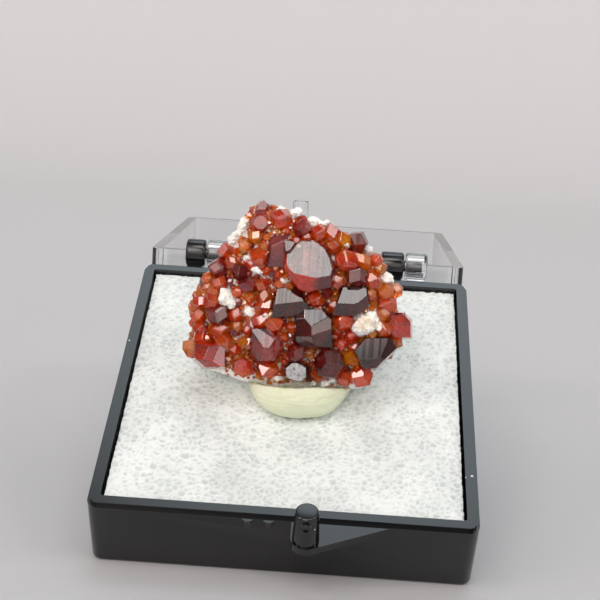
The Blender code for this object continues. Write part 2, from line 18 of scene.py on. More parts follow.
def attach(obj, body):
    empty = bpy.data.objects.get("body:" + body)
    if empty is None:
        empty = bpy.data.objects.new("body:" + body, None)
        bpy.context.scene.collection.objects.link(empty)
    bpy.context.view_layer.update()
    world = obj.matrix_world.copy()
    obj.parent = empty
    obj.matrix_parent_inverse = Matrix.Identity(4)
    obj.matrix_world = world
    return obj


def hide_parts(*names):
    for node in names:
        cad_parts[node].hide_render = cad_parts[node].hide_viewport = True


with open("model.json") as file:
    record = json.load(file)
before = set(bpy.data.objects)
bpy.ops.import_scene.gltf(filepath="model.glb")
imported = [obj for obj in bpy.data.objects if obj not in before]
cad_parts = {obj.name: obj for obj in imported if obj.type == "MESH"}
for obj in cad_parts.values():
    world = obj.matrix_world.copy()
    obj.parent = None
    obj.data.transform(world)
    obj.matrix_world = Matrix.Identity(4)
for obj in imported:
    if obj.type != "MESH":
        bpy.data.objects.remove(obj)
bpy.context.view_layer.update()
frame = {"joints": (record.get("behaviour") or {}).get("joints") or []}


# The black base: a gloss polystyrene tray, moulded in one piece. A lip stands on its rim for the
# lid to close over, two barrels with pins carry the lid, and a slanted tongue in front carries
# the catch post.
HALF = 28.0                   # half the width of the box
BASE_DEEP = 12.28
WALL = 1.84
LEDGE = 0.45
LEDGE_DROP = 0.65
FLOOR_THICK = 1.8
CORNER = 1.6
WELL_CORNER = 0.4
FOOT = 0.6
BARREL_R = 2.4
PIN_R = 1.0
BARREL_EDGE = 0.45
TAB_HIGH = 2.1
TAB_LOW = 0.5                 # the webs under and over the barrels stay this far from the pin
TAB_IN = 0.4                  # and this far inside the barrels' ends
BASE_BARRELS = ((-21.2, -17.8, 3.3), (13.0, 17.0, 3.2))     # from, to, length of the pin
LID_BARRELS = ((-17.5, -13.6), (17.3, 21.1))
POST_X = 3.5
POST_Y = -30.8
POST_TOP = 4.9
POST_R = (1.95, 1.65)         # foot and tip
POST_EDGE = 0.32
TONGUE_THICK = 1.3
TONGUE_R = 2.15
TONGUE_RUN = 16.1
NUB_R = 0.85
NUB_UP = 3.43
NUB_OUT = 0.9
DIMPLE = (0.38, 0.5)          # radius and length of the hole in the nub
MOULD_MARKS = (-4.9, -1.9)
MARK_R = (0.3, 0.95)
MARK_LONG = 2.6
SOFT_EDGE = 0.1               # radius of every other edge
SEAM = 0.3                    # how far joined shapes reach into each other
MM = 0.001
LEAN_BACK = math.radians(30.0)
PIN_BACK = 31.4               # hinge pin behind the middle of the base
PIN_UP = 0.15                 # and above its rim
# The base leans back with its hinge high
pin_in_base = Matrix.Translation((0.0, PIN_BACK * MM, PIN_UP * MM))
base_place = (Matrix.Translation(Vector(frame["joints"][0]["pos_m"])) @ Matrix.Rotation(LEAN_BACK, 4, "X")
              @ pin_in_base.inverted())


def placed_mesh(mesh, name, place):
    """A piece of the object with a mesh of its own, at its place."""
    piece = bpy.data.objects.new(name, mesh)
    bpy.context.scene.collection.objects.link(piece)
    piece.matrix_world = place
    return piece


def piece_from(bm, name, place):
    """A shape in millimetres becomes a piece of the object at its place."""
    bmesh.ops.scale(bm, vec=(MM, MM, MM), verts=bm.verts)
    mesh = bpy.data.meshes.new(name)
    bm.to_mesh(mesh)
    bm.free()
    return placed_mesh(mesh, name, place)


def block(low, high, corner=0.0, foot=0.0, foot_down=True):
    """A box with rounded upright corners and, where asked, one rounded rim."""
    bm = bmesh.new()
    bmesh.ops.create_cube(bm, size=1.0)
    low, high = Vector(low), Vector(high)
    bmesh.ops.scale(bm, vec=high - low, verts=bm.verts)
    bmesh.ops.translate(bm, vec=(low + high) / 2, verts=bm.verts)
    if corner:
        upright = [e for e in bm.edges if abs(e.verts[0].co.z - e.verts[1].co.z) > 0.01]
        bmesh.ops.bevel(bm, geom=upright, offset=corner, segments=8, profile=0.5, affect="EDGES")
    if foot:
        level = low.z if foot_down else high.z
        rim = [e for e in bm.edges if all(abs(v.co.z - level) < 0.001 for v in e.verts)]
        bmesh.ops.bevel(bm, geom=rim, offset=foot, segments=5, profile=0.5, affect="EDGES")
    return bm


def rod(radii, length, middle, along="Z", sides=56, round_end=0.0):
    """A round bar or cone, centred on middle."""
    bm = bmesh.new()
    bmesh.ops.create_cone(bm, cap_ends=True, segments=sides, radius1=radii[0], radius2=radii[1], depth=length)
    if round_end:
        caps = [e for e in bm.edges if abs(e.verts[0].co.z - e.verts[1].co.z) < 0.001]
        bmesh.ops.bevel(bm, geom=caps, offset=round_end, segments=5, profile=0.5, affect="EDGES")
    turn = Matrix.Rotation(math.radians(90), 4, "Y") if along == "X" else Matrix.Identity(4)
    if along == "Y":
        turn = Matrix.Rotation(math.radians(-90), 4, "X")
    bmesh.ops.transform(bm, matrix=Matrix.Translation(middle) @ turn, verts=bm.verts)
    return bm


def tongue(side, top):
    """The flat tongue under a catch post: round at the post, slanted back to the wall."""
    arc = [math.radians(a) for a in range(180, 301, 6)]
    outline = [(TONGUE_R * math.cos(a) + POST_X, TONGUE_R * math.sin(a) + POST_Y) for a in arc]
    outline += [(TONGUE_RUN, -HALF + SEAM), (TONGUE_RUN, -HALF + 1.0), (POST_X - TONGUE_R, -HALF + 1.0)]
    bm = bmesh.new()
    face = bm.faces.new([bm.verts.new((side * x, y, top - TONGUE_THICK)) for x, y in outline])
    raised = bmesh.ops.extrude_face_region(bm, geom=[face])["geom"]
    upper = [g for g in raised if isinstance(g, bmesh.types.BMVert)]
    bmesh.ops.translate(bm, vec=(0, 0, TONGUE_THICK), verts=upper)
    bmesh.ops.recalc_face_normals(bm, faces=bm.faces)
    return bm


def moulded(first, adds, cuts, name, place):
    """Joins and cuts closed shapes into one moulding, and softens its edges."""
    piece = piece_from(first, name, Matrix.Identity(4))
    for shapes, operation in ((adds, "UNION"), (cuts, "DIFFERENCE")):
        for bm in shapes:
            tool = piece_from(bm, "tool", Matrix.Identity(4))
            step = piece.modifiers.new("step", "BOOLEAN")
            step.object = tool
            step.operation = operation
            step.solver = "EXACT"
            graph = bpy.context.evaluated_depsgraph_get()
            joined = bpy.data.meshes.new_from_object(piece.evaluated_get(graph))
            piece.modifiers.clear()
            tidy = bmesh.new()
            tidy.from_mesh(joined)
            bmesh.ops.remove_doubles(tidy, verts=tidy.verts, dist=0.000001)
            tidy.to_mesh(joined)
            tidy.free()
            piece.data = joined
            bpy.data.objects.remove(tool, do_unlink=True)
    bm = bmesh.new()
    bm.from_mesh(piece.data)
    bmesh.ops.dissolve_limit(bm, angle_limit=0.01, verts=bm.verts, edges=bm.edges)
    bmesh.ops.dissolve_degenerate(bm, dist=0.00001, edges=bm.edges)
    bm.to_mesh(piece.data)
    bm.free()
    soft = piece.modifiers.new("soft_edges", "BEVEL")
    soft.width = SOFT_EDGE * MM
    soft.segments = 2
    soft.limit_method = "ANGLE"
    soft.angle_limit = math.radians(38)
    soft.harden_normals = False
    piece.data.shade_smooth()
    piece.data.set_sharp_from_angle(angle=math.radians(32))
    piece.matrix_world = place
    return piece


def hinge_parts(barrels, tab_low, tab_high):
    """Hinge barrels along the pin, each with the web that ties it to its wall."""
    shapes = []
    for start, end in barrels:
        middle = ((start + end) / 2, PIN_BACK, PIN_UP)
        shapes.append(rod((BARREL_R, BARREL_R), end - start, middle, "X", 56, BARREL_EDGE))
        shapes.append(block((start + TAB_IN, HALF - 2 * SEAM, PIN_UP + tab_low),
                            (end - TAB_IN, PIN_BACK, PIN_UP + tab_high)))
    return shapes


lip = HALF - LEDGE
well = HALF - WALL
adds = [block((-lip, -lip, -LEDGE_DROP - 1.0), (lip, lip, 0.0), CORNER - LEDGE)]
adds += hinge_parts([(start, end) for start, end, _ in BASE_BARRELS], -TAB_LOW - TAB_HIGH, -TAB_LOW)
for _, end, pin in BASE_BARRELS:
    adds.append(rod((PIN_R, PIN_R), pin + 1.0, (end + (pin - 1.0) / 2, PIN_BACK, PIN_UP), "X", 40, 0.2))
adds.append(tongue(1, -LEDGE_DROP))
post_long = POST_TOP + LEDGE_DROP + SEAM
adds.append(rod(POST_R, post_long, (POST_X, POST_Y, POST_TOP - post_long / 2), "Z", 64, POST_EDGE))
nub_y = POST_Y - sum(POST_R) / 2
adds.append(rod((NUB_R, NUB_R), NUB_OUT, (POST_X, nub_y, NUB_UP), "Y", 32, 0.15))
for x in MOULD_MARKS:
    adds.append(rod(MARK_R, MARK_LONG, (x, -HALF + 0.35, -LEDGE_DROP - MARK_LONG / 2), "Z", 24))
cuts = [block((-well, -well, FLOOR_THICK - BASE_DEEP), (well, well, 2.0), WELL_CORNER),
        rod((DIMPLE[0], DIMPLE[0]), DIMPLE[1], (POST_X, nub_y - NUB_OUT / 2, NUB_UP), "Y", 20)]
body = block((-HALF, -HALF, -BASE_DEEP), (HALF, HALF, -LEDGE_DROP), CORNER, FOOT)
box_base = moulded(body, adds, cuts, "black_base", base_place)


def finish_named(name, **values):
    """A new material with the shader's plain values, its node tree and the place on the piece."""
    finish = bpy.data.materials.new(name)
    finish.use_nodes = True
    tree = finish.node_tree
    shader = tree.nodes["Principled BSDF"]
    for key, value in values.items():
        shader.inputs[key.replace("_", " ")].default_value = value
    return finish, tree, shader, node(tree, "TexCoord").outputs["Object"]


def node(tree, kind, inputs=(), **settings):
    """Adds a shader node, sets what it is told and links or sets its inputs."""
    made = tree.nodes.new("ShaderNode" + kind)
    for key, value in settings.items():
        setattr(made, key, value)
    for key, value in dict(inputs).items():
        if isinstance(value, bpy.types.NodeSocket):
            tree.links.new(value, made.inputs[key])
        else:
            made.inputs[key].default_value = value
    return made


def sums(tree, operation, *values, kind="Math"):
    """The result of one sum on the values."""
    made = node(tree, kind, enumerate(values), operation=operation)
    return made.outputs["Value"]


def mottle(tree, place, scale, detail, **more):
    """Soft random patches, so many to the metre."""
    return node(tree, "TexNoise", {"Vector": place, "Scale": scale, "Detail": detail, **more}).outputs["Fac"]


def between(tree, value, low, high, **settings):
    """Goes from 0 to 1 as a value goes from low to high."""
    made = node(tree, "MapRange", {"Value": value, "From Min": low, "From Max": high}, **settings)
    return made.outputs["Result"]


def ramp(tree, source, stops):
    """Colours or shades of grey spread along a value."""
    made = tree.nodes.new("ShaderNodeValToRGB")
    for _ in stops[2:]:
        made.color_ramp.elements.new(0.5)
    for element, (place, colour) in zip(made.color_ramp.elements, stops):
        element.position = place
        element.color = (*colour, 1.0) if isinstance(colour, tuple) else (colour, colour, colour, 1.0)
    tree.links.new(source, made.inputs["Fac"])
    return made.outputs["Color"]


def bumps(tree, shader, height, depth_mm):
    """Relief of a given depth from a height value."""
    made = node(tree, "Bump", {"Strength": 1.0, "Distance": depth_mm * MM, "Height": height})
    tree.links.new(made.outputs["Normal"], shader.inputs["Normal"])


def blend_colours(tree, share, first, second):
    """The first colour where share is 0 and the second where it is 1."""
    first, second = [(*each, 1.0) if isinstance(each, tuple) else each for each in (first, second)]
    mix = node(tree, "Mix", {"Factor": share, "A": first, "B": second}, data_type="RGBA")
    return mix.outputs["Result"]


finish, tree, shader, spot = finish_named("black_polystyrene", IOR=1.55)
haze = mottle(tree, spot, 90.0, 4.0)
specks = node(tree, "TexVoronoi", {"Vector": spot, "Scale": 330.0, "Randomness": 1.0}).outputs["Distance"]
dust = sums(tree, "LESS_THAN", specks, 0.07)
where = sums(tree, "GREATER_THAN", mottle(tree, spot, 60.0, 2.0), 0.54)
dusty = sums(tree, "MULTIPLY", dust, where)
tint = blend_colours(tree, dusty, (0.006, 0.006, 0.007), (0.55, 0.55, 0.53))
tree.links.new(tint, shader.inputs["Base Color"])
tree.links.new(ramp(tree, haze, ((0.3, 0.025), (0.75, 0.09))), shader.inputs["Roughness"])
bumps(tree, shader, mottle(tree, spot, 55.0, 1.0), 0.035)
box_base.data.materials.append(finish)
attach(box_base, "base")
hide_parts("box_base")


# The clear lid: one moulding of clear polystyrene with slightly rounded edges, two hinge barrels
# that turn on the base's pins, and a post and tongue of its own that snap in front of the base's.
LID_WALL = 1.9
BORE_R = 1.3
PIN_END_GAP = 0.3
# It has turned 210 degrees about the hinge pin, until it stops against the base
lid_place = base_place @ pin_in_base @ Matrix.Rotation(-math.pi - LEAN_BACK, 4, "X") @ pin_in_base.inverted()
rim = 2 * PIN_UP
pin_high = PIN_BACK * math.sin(LEAN_BACK) + PIN_UP * math.cos(LEAN_BACK)
front_low = (HALF * math.sin(LEAN_BACK) + BASE_DEEP * math.cos(LEAN_BACK)
             - FOOT * (math.sin(LEAN_BACK) + math.cos(LEAN_BACK) - 1))
lid_top = rim + pin_high + front_low - PIN_UP
hollow = HALF - LID_WALL
body = block((-HALF, -HALF, rim), (HALF, HALF, lid_top), CORNER, FOOT, False)
adds = hinge_parts(LID_BARRELS, TAB_LOW, TAB_LOW + TAB_HIGH)
adds.append(tongue(-1, rim + LEDGE_DROP + TONGUE_THICK))
post_middle = (-POST_X, POST_Y, rim + LEDGE_DROP + SEAM - post_long / 2)
adds.append(rod(POST_R[::-1], post_long, post_middle, "Z", 64, POST_EDGE))
cuts = [block((-hollow, -hollow, -2.0), (hollow, hollow, lid_top - LID_WALL), CORNER - LEDGE, 0.5, False)]
for (start, _), (_, base_end, pin) in zip(LID_BARRELS, BASE_BARRELS):
    far = base_end + pin + PIN_END_GAP
    long = far - start + 1.0
    cuts.append(rod((BORE_R, BORE_R), long, (far - long / 2, PIN_BACK, PIN_UP), "X", 40))
box_lid = moulded(body, adds, cuts, "clear_lid", lid_place)

finish, tree, shader, spot = finish_named("clear_polystyrene", Base_Color=(0.97, 0.975, 0.98, 1.0),
                                          Transmission_Weight=1.0, IOR=1.57)
wisp = mottle(tree, spot, 70.0, 3.0)
tree.links.new(ramp(tree, wisp, ((0.35, 0.015), (0.8, 0.07))), shader.inputs["Roughness"])
bumps(tree, shader, mottle(tree, spot, 35.0, 1.0), 0.05)
box_lid.data.materials.append(finish)
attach(box_lid, "lid")
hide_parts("box_lid")


# The pad: a square of white closed-cell polyethylene foam, sliced from a plank, so that its top shows cut
# cells, thin walls round shallow hollows, and its edge is a little ragged. The hollows are painted darker
# grey than the walls, as painted shade.
FOAM_GAP = 0.3                # clear of the tray's walls and floor
FOAM_SIDE = HALF - WALL - FOAM_GAP
FOAM_LOW = FLOOR_THICK - BASE_DEEP + FOAM_GAP
FOAM_TOP = -0.78
CELL = 0.92
FOAM_GRID = 300
PIT = 0.24                    # depth of the large cells
SMALL_CELL = 0.6
SMALL_PIT = 0.14
UNEVEN = 0.12
RAGGED = 0.18                 # how far the cut edge is pulled in


def cells_at(at):
    """How far a place is from its cell's wall, and the middle of that cell."""
    fars, middles = noise.voronoi(at, distance_metric="DISTANCE", exponent=2.5)
    return fars[1] - fars[0], middles[0]


def foam_height(x, y):
    """Height of the cut surface: cell walls left standing, cells hollow by various depths."""
    bend = Vector((noise.noise(Vector((x, y, 5.0)) * 0.9), noise.noise(Vector((x, y, 8.0)) * 0.9), 0.0))
    at = Vector((x / CELL, y / CELL, 4.0)) + 0.3 * bend
    inside, cell = cells_at(at)
    depth = min(1.0, max(0.48, 0.72 + 0.6 * noise.noise(cell * 3.7)))
    sunk = min(max((inside - 0.02) / 0.42, 0.0), 1.0)
    sunk = sunk * sunk * (3 - 2 * sunk)
    inside, cell = cells_at(Vector((x, y, 9.0)) / SMALL_CELL)
    small = max(0.0, 0.2 + noise.noise(cell * 2.9)) * min(inside / 0.4, 1.0)
    broad = noise.noise(Vector((x, y, 2.0)) * 0.16)
    return FOAM_TOP + UNEVEN * broad - PIT * depth * sunk - SMALL_PIT * small


steps = np.linspace(-FOAM_SIDE, FOAM_SIDE, FOAM_GRID)
bm = bmesh.new()
top = [[bm.verts.new((x, y, foam_height(x, y))) for x in steps] for y in steps]
for near, far in zip(top, top[1:]):
    for corners in zip(near, near[1:], far[1:], far):
        bm.faces.new(corners)
rim_edges = [e for e in bm.edges if e.is_boundary]
rim_verts = {vert for edge in rim_edges for vert in edge.verts}
skirt = bmesh.ops.extrude_edge_only(bm, edges=rim_edges)["geom"]
for vert in (g for g in skirt if isinstance(g, bmesh.types.BMVert)):
    vert.co.z = FOAM_LOW
bmesh.ops.contextual_create(bm, geom=[e for e in bm.edges if e.is_boundary])
for vert in rim_verts:
    pull = RAGGED * (0.5 + 0.5 * noise.noise(vert.co * 1.3))
    for axis, along in enumerate(vert.co.xy):
        if abs(along) > FOAM_SIDE - 0.01:
            vert.co[axis] -= math.copysign(pull, along)
bmesh.ops.recalc_face_normals(bm, faces=bm.faces)
foam = piece_from(bm, "foam_square", base_place)
foam.data.shade_smooth()

finish, tree, shader, spot = finish_named("white_foam", Roughness=0.62, Subsurface_Weight=0.25,
                                          Subsurface_Radius=(0.0012, 0.0012, 0.0012), Subsurface_Scale=1.0)
# Painted shade: the lower the cut surface lies in its cell, the darker grey its colour, with random mottling
# over it
height = node(tree, "SeparateXYZ", {"Vector": spot}).outputs["Z"]
hollow_shade_by_height = between(tree, height, (FOAM_TOP - 0.40) * MM, (FOAM_TOP + 0.06) * MM)
mixed = sums(tree, "MULTIPLY_ADD", mottle(tree, spot, 900.0, 3.0), 0.22, hollow_shade_by_height)
shades = ramp(tree, mixed, ((0.1, (0.46, 0.505, 0.51)), (0.6, (0.61, 0.66, 0.66)),
                            (1.0, (0.79, 0.84, 0.835))))
tree.links.new(shades, shader.inputs["Base Color"])
bumps(tree, shader, mottle(tree, spot, 2600.0, 2.0), 0.03)
foam.data.materials.append(finish)
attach(foam, "base")
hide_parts("foam_pad")


# The putty: a ball of soft pale yellow-green mounting putty, rolled in the fingers and pressed on
# the foam. The specimen is pushed into its top, so it bulges below and keeps a few creases.
PUTTY_AT = (0.8, -0.3)
PUTTY_R = 8.3
PUTTY_TOP = 7.5
PUTTY_FOOT = FOAM_TOP - 0.1
# Share of its width and of its height, from the foam up
PUTTY_RINGS = ((0.80, 0.0), (0.93, 0.10), (1.0, 0.27), (0.97, 0.45), (0.86, 0.63), (0.66, 0.80),
               (0.40, 0.93), (0.0, 1.0))
PUTTY_TURNS = 168
PUTTY_ROWS = 72
LIP = 0.25                    # putty squeezed out below the slab
# The specimen's front, which all that follows is placed by: (right, up) in millimetres from its
# middle, as seen from the eye, and the height out of it towards the eye
EYE = Vector((5.26, -149.76, 140.32))
EYE_FAR = 198.3
FRONT = (Matrix.Rotation(math.radians(1.94), 3, "Z") @ Matrix.Rotation(math.radians(50.5), 3, "X")
         @ Matrix.Rotation(math.radians(2.56), 3, "Z"))
SIGHT_AT = (0.305, -0.61)
SLOPE = 0.167                 # the front leans forward of the plane it is seen on
MIDDLE = (0.0, -1.0)
FOOT_BELOW = -9.0             # outline points lower than this are its bottom edge
OUTLINE = (
    (-7.0, 14.2), (-5.4, 14.7), (-4.2, 14.2), (-3.2, 13.4), (-1.2, 13.8), (0.9, 12.7), (2.2, 11.9),
    (3.4, 11.7), (4.7, 10.5), (6.2, 10.4), (8.3, 9.8), (9.6, 8.7), (10.3, 7.5), (11.4, 6.6),
    (12.8, 5.9), (13.2, 3.3), (14.6, 2.3), (15.7, 1.4), (15.3, -1.2), (15.1, -2.4), (17.2, -4.0),
    (17.0, -5.9), (15.8, -7.0), (13.9, -9.0), (12.9, -10.4), (11.0, -11.2), (10.8, -13.0),
    (9.4, -13.6), (6.0, -13.8), (3.0, -13.6), (0.5, -13.7), (-2.0, -13.7), (-5.3, -13.3),
    (-7.5, -12.8), (-10.0, -12.1), (-12.0, -11.7), (-14.6, -11.0), (-15.9, -9.6), (-17.3, -8.4),
    (-17.5, -7.5), (-16.3, -6.2), (-16.8, -3.5), (-16.9, -1.2), (-16.4, 0.1), (-15.0, 2.5),
    (-13.9, 4.2), (-12.2, 5.6), (-11.4, 7.0), (-10.6, 8.0), (-9.7, 10.0), (-8.8, 11.3), (-7.6, 12.9))


def on_front(right, up, out):
    """A place before the slab's front, in the base's frame."""
    near = (EYE_FAR - out) / EYE_FAR
    seen = Vector(((right - SIGHT_AT[0]) * near, (up - SIGHT_AT[1]) * near, out - EYE_FAR))
    return EYE + FRONT @ seen


def front_coordinates(point):
    """The inverse of on_front: right, up and out of a place in the base's frame."""
    seen = FRONT.transposed() @ (point - EYE)
    out = seen.z + EYE_FAR
    near = (EYE_FAR - out) / EYE_FAR
    return seen.x / near + SIGHT_AT[0], seen.y / near + SIGHT_AT[1], out


outline_polar = sorted((math.atan2(y - MIDDLE[1], x - MIDDLE[0]) % (2 * math.pi),
                        math.hypot(x - MIDDLE[0], y - MIDDLE[1])) for x, y in OUTLINE)
turns_of, fars_of = zip(*outline_polar)


def reach(turn):
    """Distance from the middle of the front to its outline in one direction."""
    return float(np.interp(turn, turns_of, fars_of, period=2 * math.pi))


def share_out(right, up):
    """A place's share of the way from the middle to the outline, and its direction from there."""
    x, y = right - MIDDLE[0], up - MIDDLE[1]
    turn = math.atan2(y, x)
    return math.hypot(x, y) / reach(turn), turn


def ground(right, up):
    """Height of the slab's front."""
    share, turn = share_out(right, up)
    share = min(share, 1.0)
    swell = 0.45 * noise.noise(Vector((right * 0.22, up * 0.22, 3.0)))
    worn_rim = 2.2 - 1.5 * max(0.0, -math.sin(turn)) ** 2
    return SLOPE * up + 1.6 * (1 - share ** 3) - worn_rim * share ** 8 + swell


def ground_low(right):
    """How low the bottom edge of the specimen lies at one place along it."""
    bottom = sorted((x, y) for x, y in OUTLINE if y < FOOT_BELOW)
    return float(np.interp(right, *zip(*bottom))) - 0.1


def putty_profile(share):
    """Radius and height along the side of the ball, smoothed between its rings."""
    at = share * (len(PUTTY_RINGS) - 1)
    k = min(int(at), len(PUTTY_RINGS) - 2)
    rings = [PUTTY_RINGS[max(0, min(len(PUTTY_RINGS) - 1, i))] for i in (k - 1, k, k + 1, k + 2)]
    t = at - k
    return [0.5 * (2 * b + (c - a) * t + (2 * a - 5 * b + 4 * c - d) * t * t
                   + (3 * b - a - 3 * c + d) * t ** 3) for a, b, c, d in zip(*rings)]


def behind_slab(place):
    """Pushes putty that would lie before the slab back behind its front, with a lip below it."""
    right, up, out = front_coordinates(place)
    low = ground_low(right)
    if up < low - LIP:
        return place
    hidden = ground(right, max(up, low)) - 2.5
    share = min(1.0, (up - low + LIP) / LIP)
    return on_front(right, up, min(out, out + (hidden - out) * share))


def skin_over(bm, loops):
    """Faces from ring to ring, closed at the first and the last."""
    for one, other in zip(loops, loops[1:]):
        for corners in zip(one, one[1:] + one[:1], other[1:] + other[:1], other):
            bm.faces.new(corners)
    for end in (loops[0], loops[-1]):
        bm.faces.new(end)
    bmesh.ops.recalc_face_normals(bm, faces=bm.faces)


bm = bmesh.new()
loops = []
for row in range(PUTTY_ROWS):
    out, up = putty_profile(row / (PUTTY_ROWS - 1) * 0.995)
    loop = []
    for k in range(PUTTY_TURNS):
        turn = 2 * math.pi * k / PUTTY_TURNS
        around = Vector((math.cos(turn) * 1.7, math.sin(turn) * 1.7, up * 2.0))
        swell = 1.0 + 0.045 * noise.noise(around)
        crease = abs(noise.noise(Vector((turn * 2.2, up * 5.0 + 0.6 * math.sin(turn * 1.5), 7.0))))
        dent = -0.22 * max(0.0, 0.14 - crease) / 0.14 * (0.3 + 0.7 * noise.noise(around * 2.0) ** 2)
        fold = noise.noise(Vector((turn * 1.1, up * 16.0 + 1.2 * math.sin(turn * 2.3), 3.0)))
        folded = 0.09 * max(0.0, 0.25 - abs(fold)) * 4.0 * (0.4 + 0.6 * swell)
        fine = 0.05 * noise.noise(around * 9.0) - folded
        wide = PUTTY_R * out * swell + (dent + fine) * min(1.0, out * 2)
        place = Vector((PUTTY_AT[0] + wide * math.cos(turn), PUTTY_AT[1] + wide * math.sin(turn),
                        PUTTY_FOOT + up * (PUTTY_TOP - PUTTY_FOOT)))
        loop.append(bm.verts.new(behind_slab(place)))
    loops.append(loop)
skin_over(bm, loops)
putty = piece_from(bm, "putty_ball", base_place)
putty.data.shade_smooth()

finish, tree, shader, spot = finish_named("mounting_putty", Roughness=0.55, Subsurface_Weight=0.35,
                                          Subsurface_Radius=(0.0015, 0.0014, 0.0008), Subsurface_Scale=1.0)
cloud = mottle(tree, spot, 260.0, 4.0)
shades = ramp(tree, cloud, ((0.3, (0.70, 0.745, 0.525)), (0.7, (0.74, 0.78, 0.60))))
tree.links.new(shades, shader.inputs["Base Color"])
bumps(tree, shader, mottle(tree, spot, 1400.0, 5.0), 0.05)
putty.data.materials.append(finish)
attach(putty, "base")
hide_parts("mounting_putty")


# The matrix: a cream-white slab broken off the vein wall, sugary on its broken edges and back,
# with white lumps that stand out between the crystals.
ROCK_THICK = 8.5
ROCK_INSET = 1.5              # crystals overhang the slab by this much
BOTTOM_INSET = -0.05          # but not at the bottom, where the slab's edge shows
MESH_WIDE = 0.24              # of the skin's faces
BLOCK_WIDE = 1.15             # of the rock's coarse and fine grains
GRAIN_WIDE = 0.5
# White lumps: right, up, half width, half length, turn in degrees, height
LUMPS = (
    (-10.8, -0.2, 1.5, 1.7, 20, 2.3), (-10.2, -1.0, 1.0, 0.9, 0, 2.1), (9.4, -4.3, 1.4, 1.9, 25, 3.0),
    (11.3, -3.4, 1.1, 1.3, -30, 3.2), (10.4, -5.0, 1.2, 1.0, 0, 2.6), (13.4, 2.6, 1.5, 1.0, 25, 2.4),
    (-9.6, 8.8, 0.9, 1.7, 35, 2.0), (-8.2, 10.9, 0.9, 1.6, 30, 2.2), (-7.4, -2.3, 1.3, 0.8, 40, 2.0),
    (-6.9, -4.2, 0.5, 1.5, -10, 1.3), (2.4, 11.2, 1.2, 0.8, -10, 2.0), (3.8, 10.8, 1.0, 0.7, -25, 2.0),
    (10.7, 6.9, 0.8, 1.0, 20, 1.9), (-6.3, 3.9, 1.2, 0.7, 25, 1.9), (-2.0, 2.3, 0.8, 0.45, 25, 1.9),
    (-2.6, 13.1, 1.0, 0.6, -10, 1.6), (-0.4, 12.6, 1.2, 0.7, -20, 1.8), (-7.5, 5.8, 0.8, 0.8, 0, 1.7),
    (2.4, -13.2, 0.55, 0.45, 0, 2.6), (4.1, -13.1, 0.65, 0.55, 20, 2.8), (5.4, -12.7, 0.8, 0.6, -15, 2.8),
    (-4.6, -12.3, 0.8, 0.35, -5, 2.2), (-3.0, -12.5, 0.8, 0.4, 0, 2.4), (12.4, -4.6, 0.8, 1.1, -20, 2.0),
    (-5.0, -2.6, 0.6, 1.3, -25, 1.5), (7.2, 7.7, 0.8, 0.45, 0, 2.3))
SLAB_ROUNDS = 120
FRONT_RINGS = (0.15, 0.3, 0.45, 0.6, 0.72, 0.82, 0.9, 0.96, 1.0)
SIDE_RINGS = ((1.02, 0.15), (1.02, 0.45), (0.99, 0.75), (0.93, 0.93))     # share out, share down
BACK_RINGS = (0.85, 0.6, 0.3)


def inset(turn):
    """How far the slab stays behind the outline: least along the bottom, where it shows."""
    down = max(0.0, -math.sin(turn)) ** 2
    return ROCK_INSET + (BOTTOM_INSET - ROCK_INSET) * min(1.0, 1.6 * down)


def nearest_cell(at):
    """How far a place is from the middle of its cell, and where that is."""
    fars, middles = noise.voronoi(at, distance_metric="DISTANCE", exponent=2.5)
    return fars[0], middles[0]


def slab_ring(bm, share, height):
    """One ring of the slab's skin."""
    loop = []
    for k in range(SLAB_ROUNDS):
        turn = 2 * math.pi * k / SLAB_ROUNDS
        far = (reach(turn) - inset(turn)) * share
        x, y = MIDDLE[0] + far * math.cos(turn), MIDDLE[1] + far * math.sin(turn)
        rough = 0.0 if height >= 0 else 0.7 * noise.noise(Vector((x * 0.3, y * 0.3, height)))
        loop.append(bm.verts.new(on_front(x, y, ground(x, y) + height + rough)))
    return loop


bm = bmesh.new()
loops = [slab_ring(bm, share, 0.0) for share in FRONT_RINGS]
loops += [slab_ring(bm, share, -ROCK_THICK * down) for share, down in SIDE_RINGS]
loops += [slab_ring(bm, share, -ROCK_THICK + 1.2 * (1 - share)) for share in BACK_RINGS]
skin_over(bm, loops)
for right, up, wide, long, turn, high in LUMPS:
    ball = bmesh.ops.create_icosphere(bm, subdivisions=2, radius=1.0)["verts"]
    for vert in ball:
        far, block_at = nearest_cell(vert.co * 1.3 + Vector((right, up, 0.0)))
        vert.co *= 1.0 + 0.55 * noise.noise(block_at * 1.9) - 0.12 * far
    place = (Matrix.Translation(on_front(right, up, ground(right, up))) @ FRONT.to_4x4()
             @ Matrix.Rotation(math.radians(-turn), 4, "Z") @ Matrix.Diagonal((wide, long, high, 1.0)))
    bmesh.ops.transform(bm, matrix=place, verts=ball)
rough_rock = piece_from(bm, "rough_rock", Matrix.Identity(4))
skin = rough_rock.modifiers.new("skin", "REMESH")
skin.mode = "VOXEL"
skin.voxel_size = MESH_WIDE * MM
graph = bpy.context.evaluated_depsgraph_get()
mesh = bpy.data.meshes.new_from_object(rough_rock.evaluated_get(graph))
bpy.data.objects.remove(rough_rock, do_unlink=True)
bm = bmesh.new()
bm.from_mesh(mesh)
bmesh.ops.scale(bm, vec=(1 / MM, 1 / MM, 1 / MM), verts=bm.verts)
bm.normal_update()
for vert in bm.verts:
    _, block_at = nearest_cell(vert.co / BLOCK_WIDE)
    far, grain_at = nearest_cell(vert.co / GRAIN_WIDE)
    sugar = 0.36 * noise.noise(block_at * 2.3) + 0.26 * noise.noise(grain_at * 3.1) - 0.12 * far
    knobs = 0.2 * noise.fractal(vert.co * 0.55, 0.8, 2.1, 3)
    vert.co += vert.normal * (sugar + knobs)
rock = piece_from(bm, "matrix_slab", base_place)

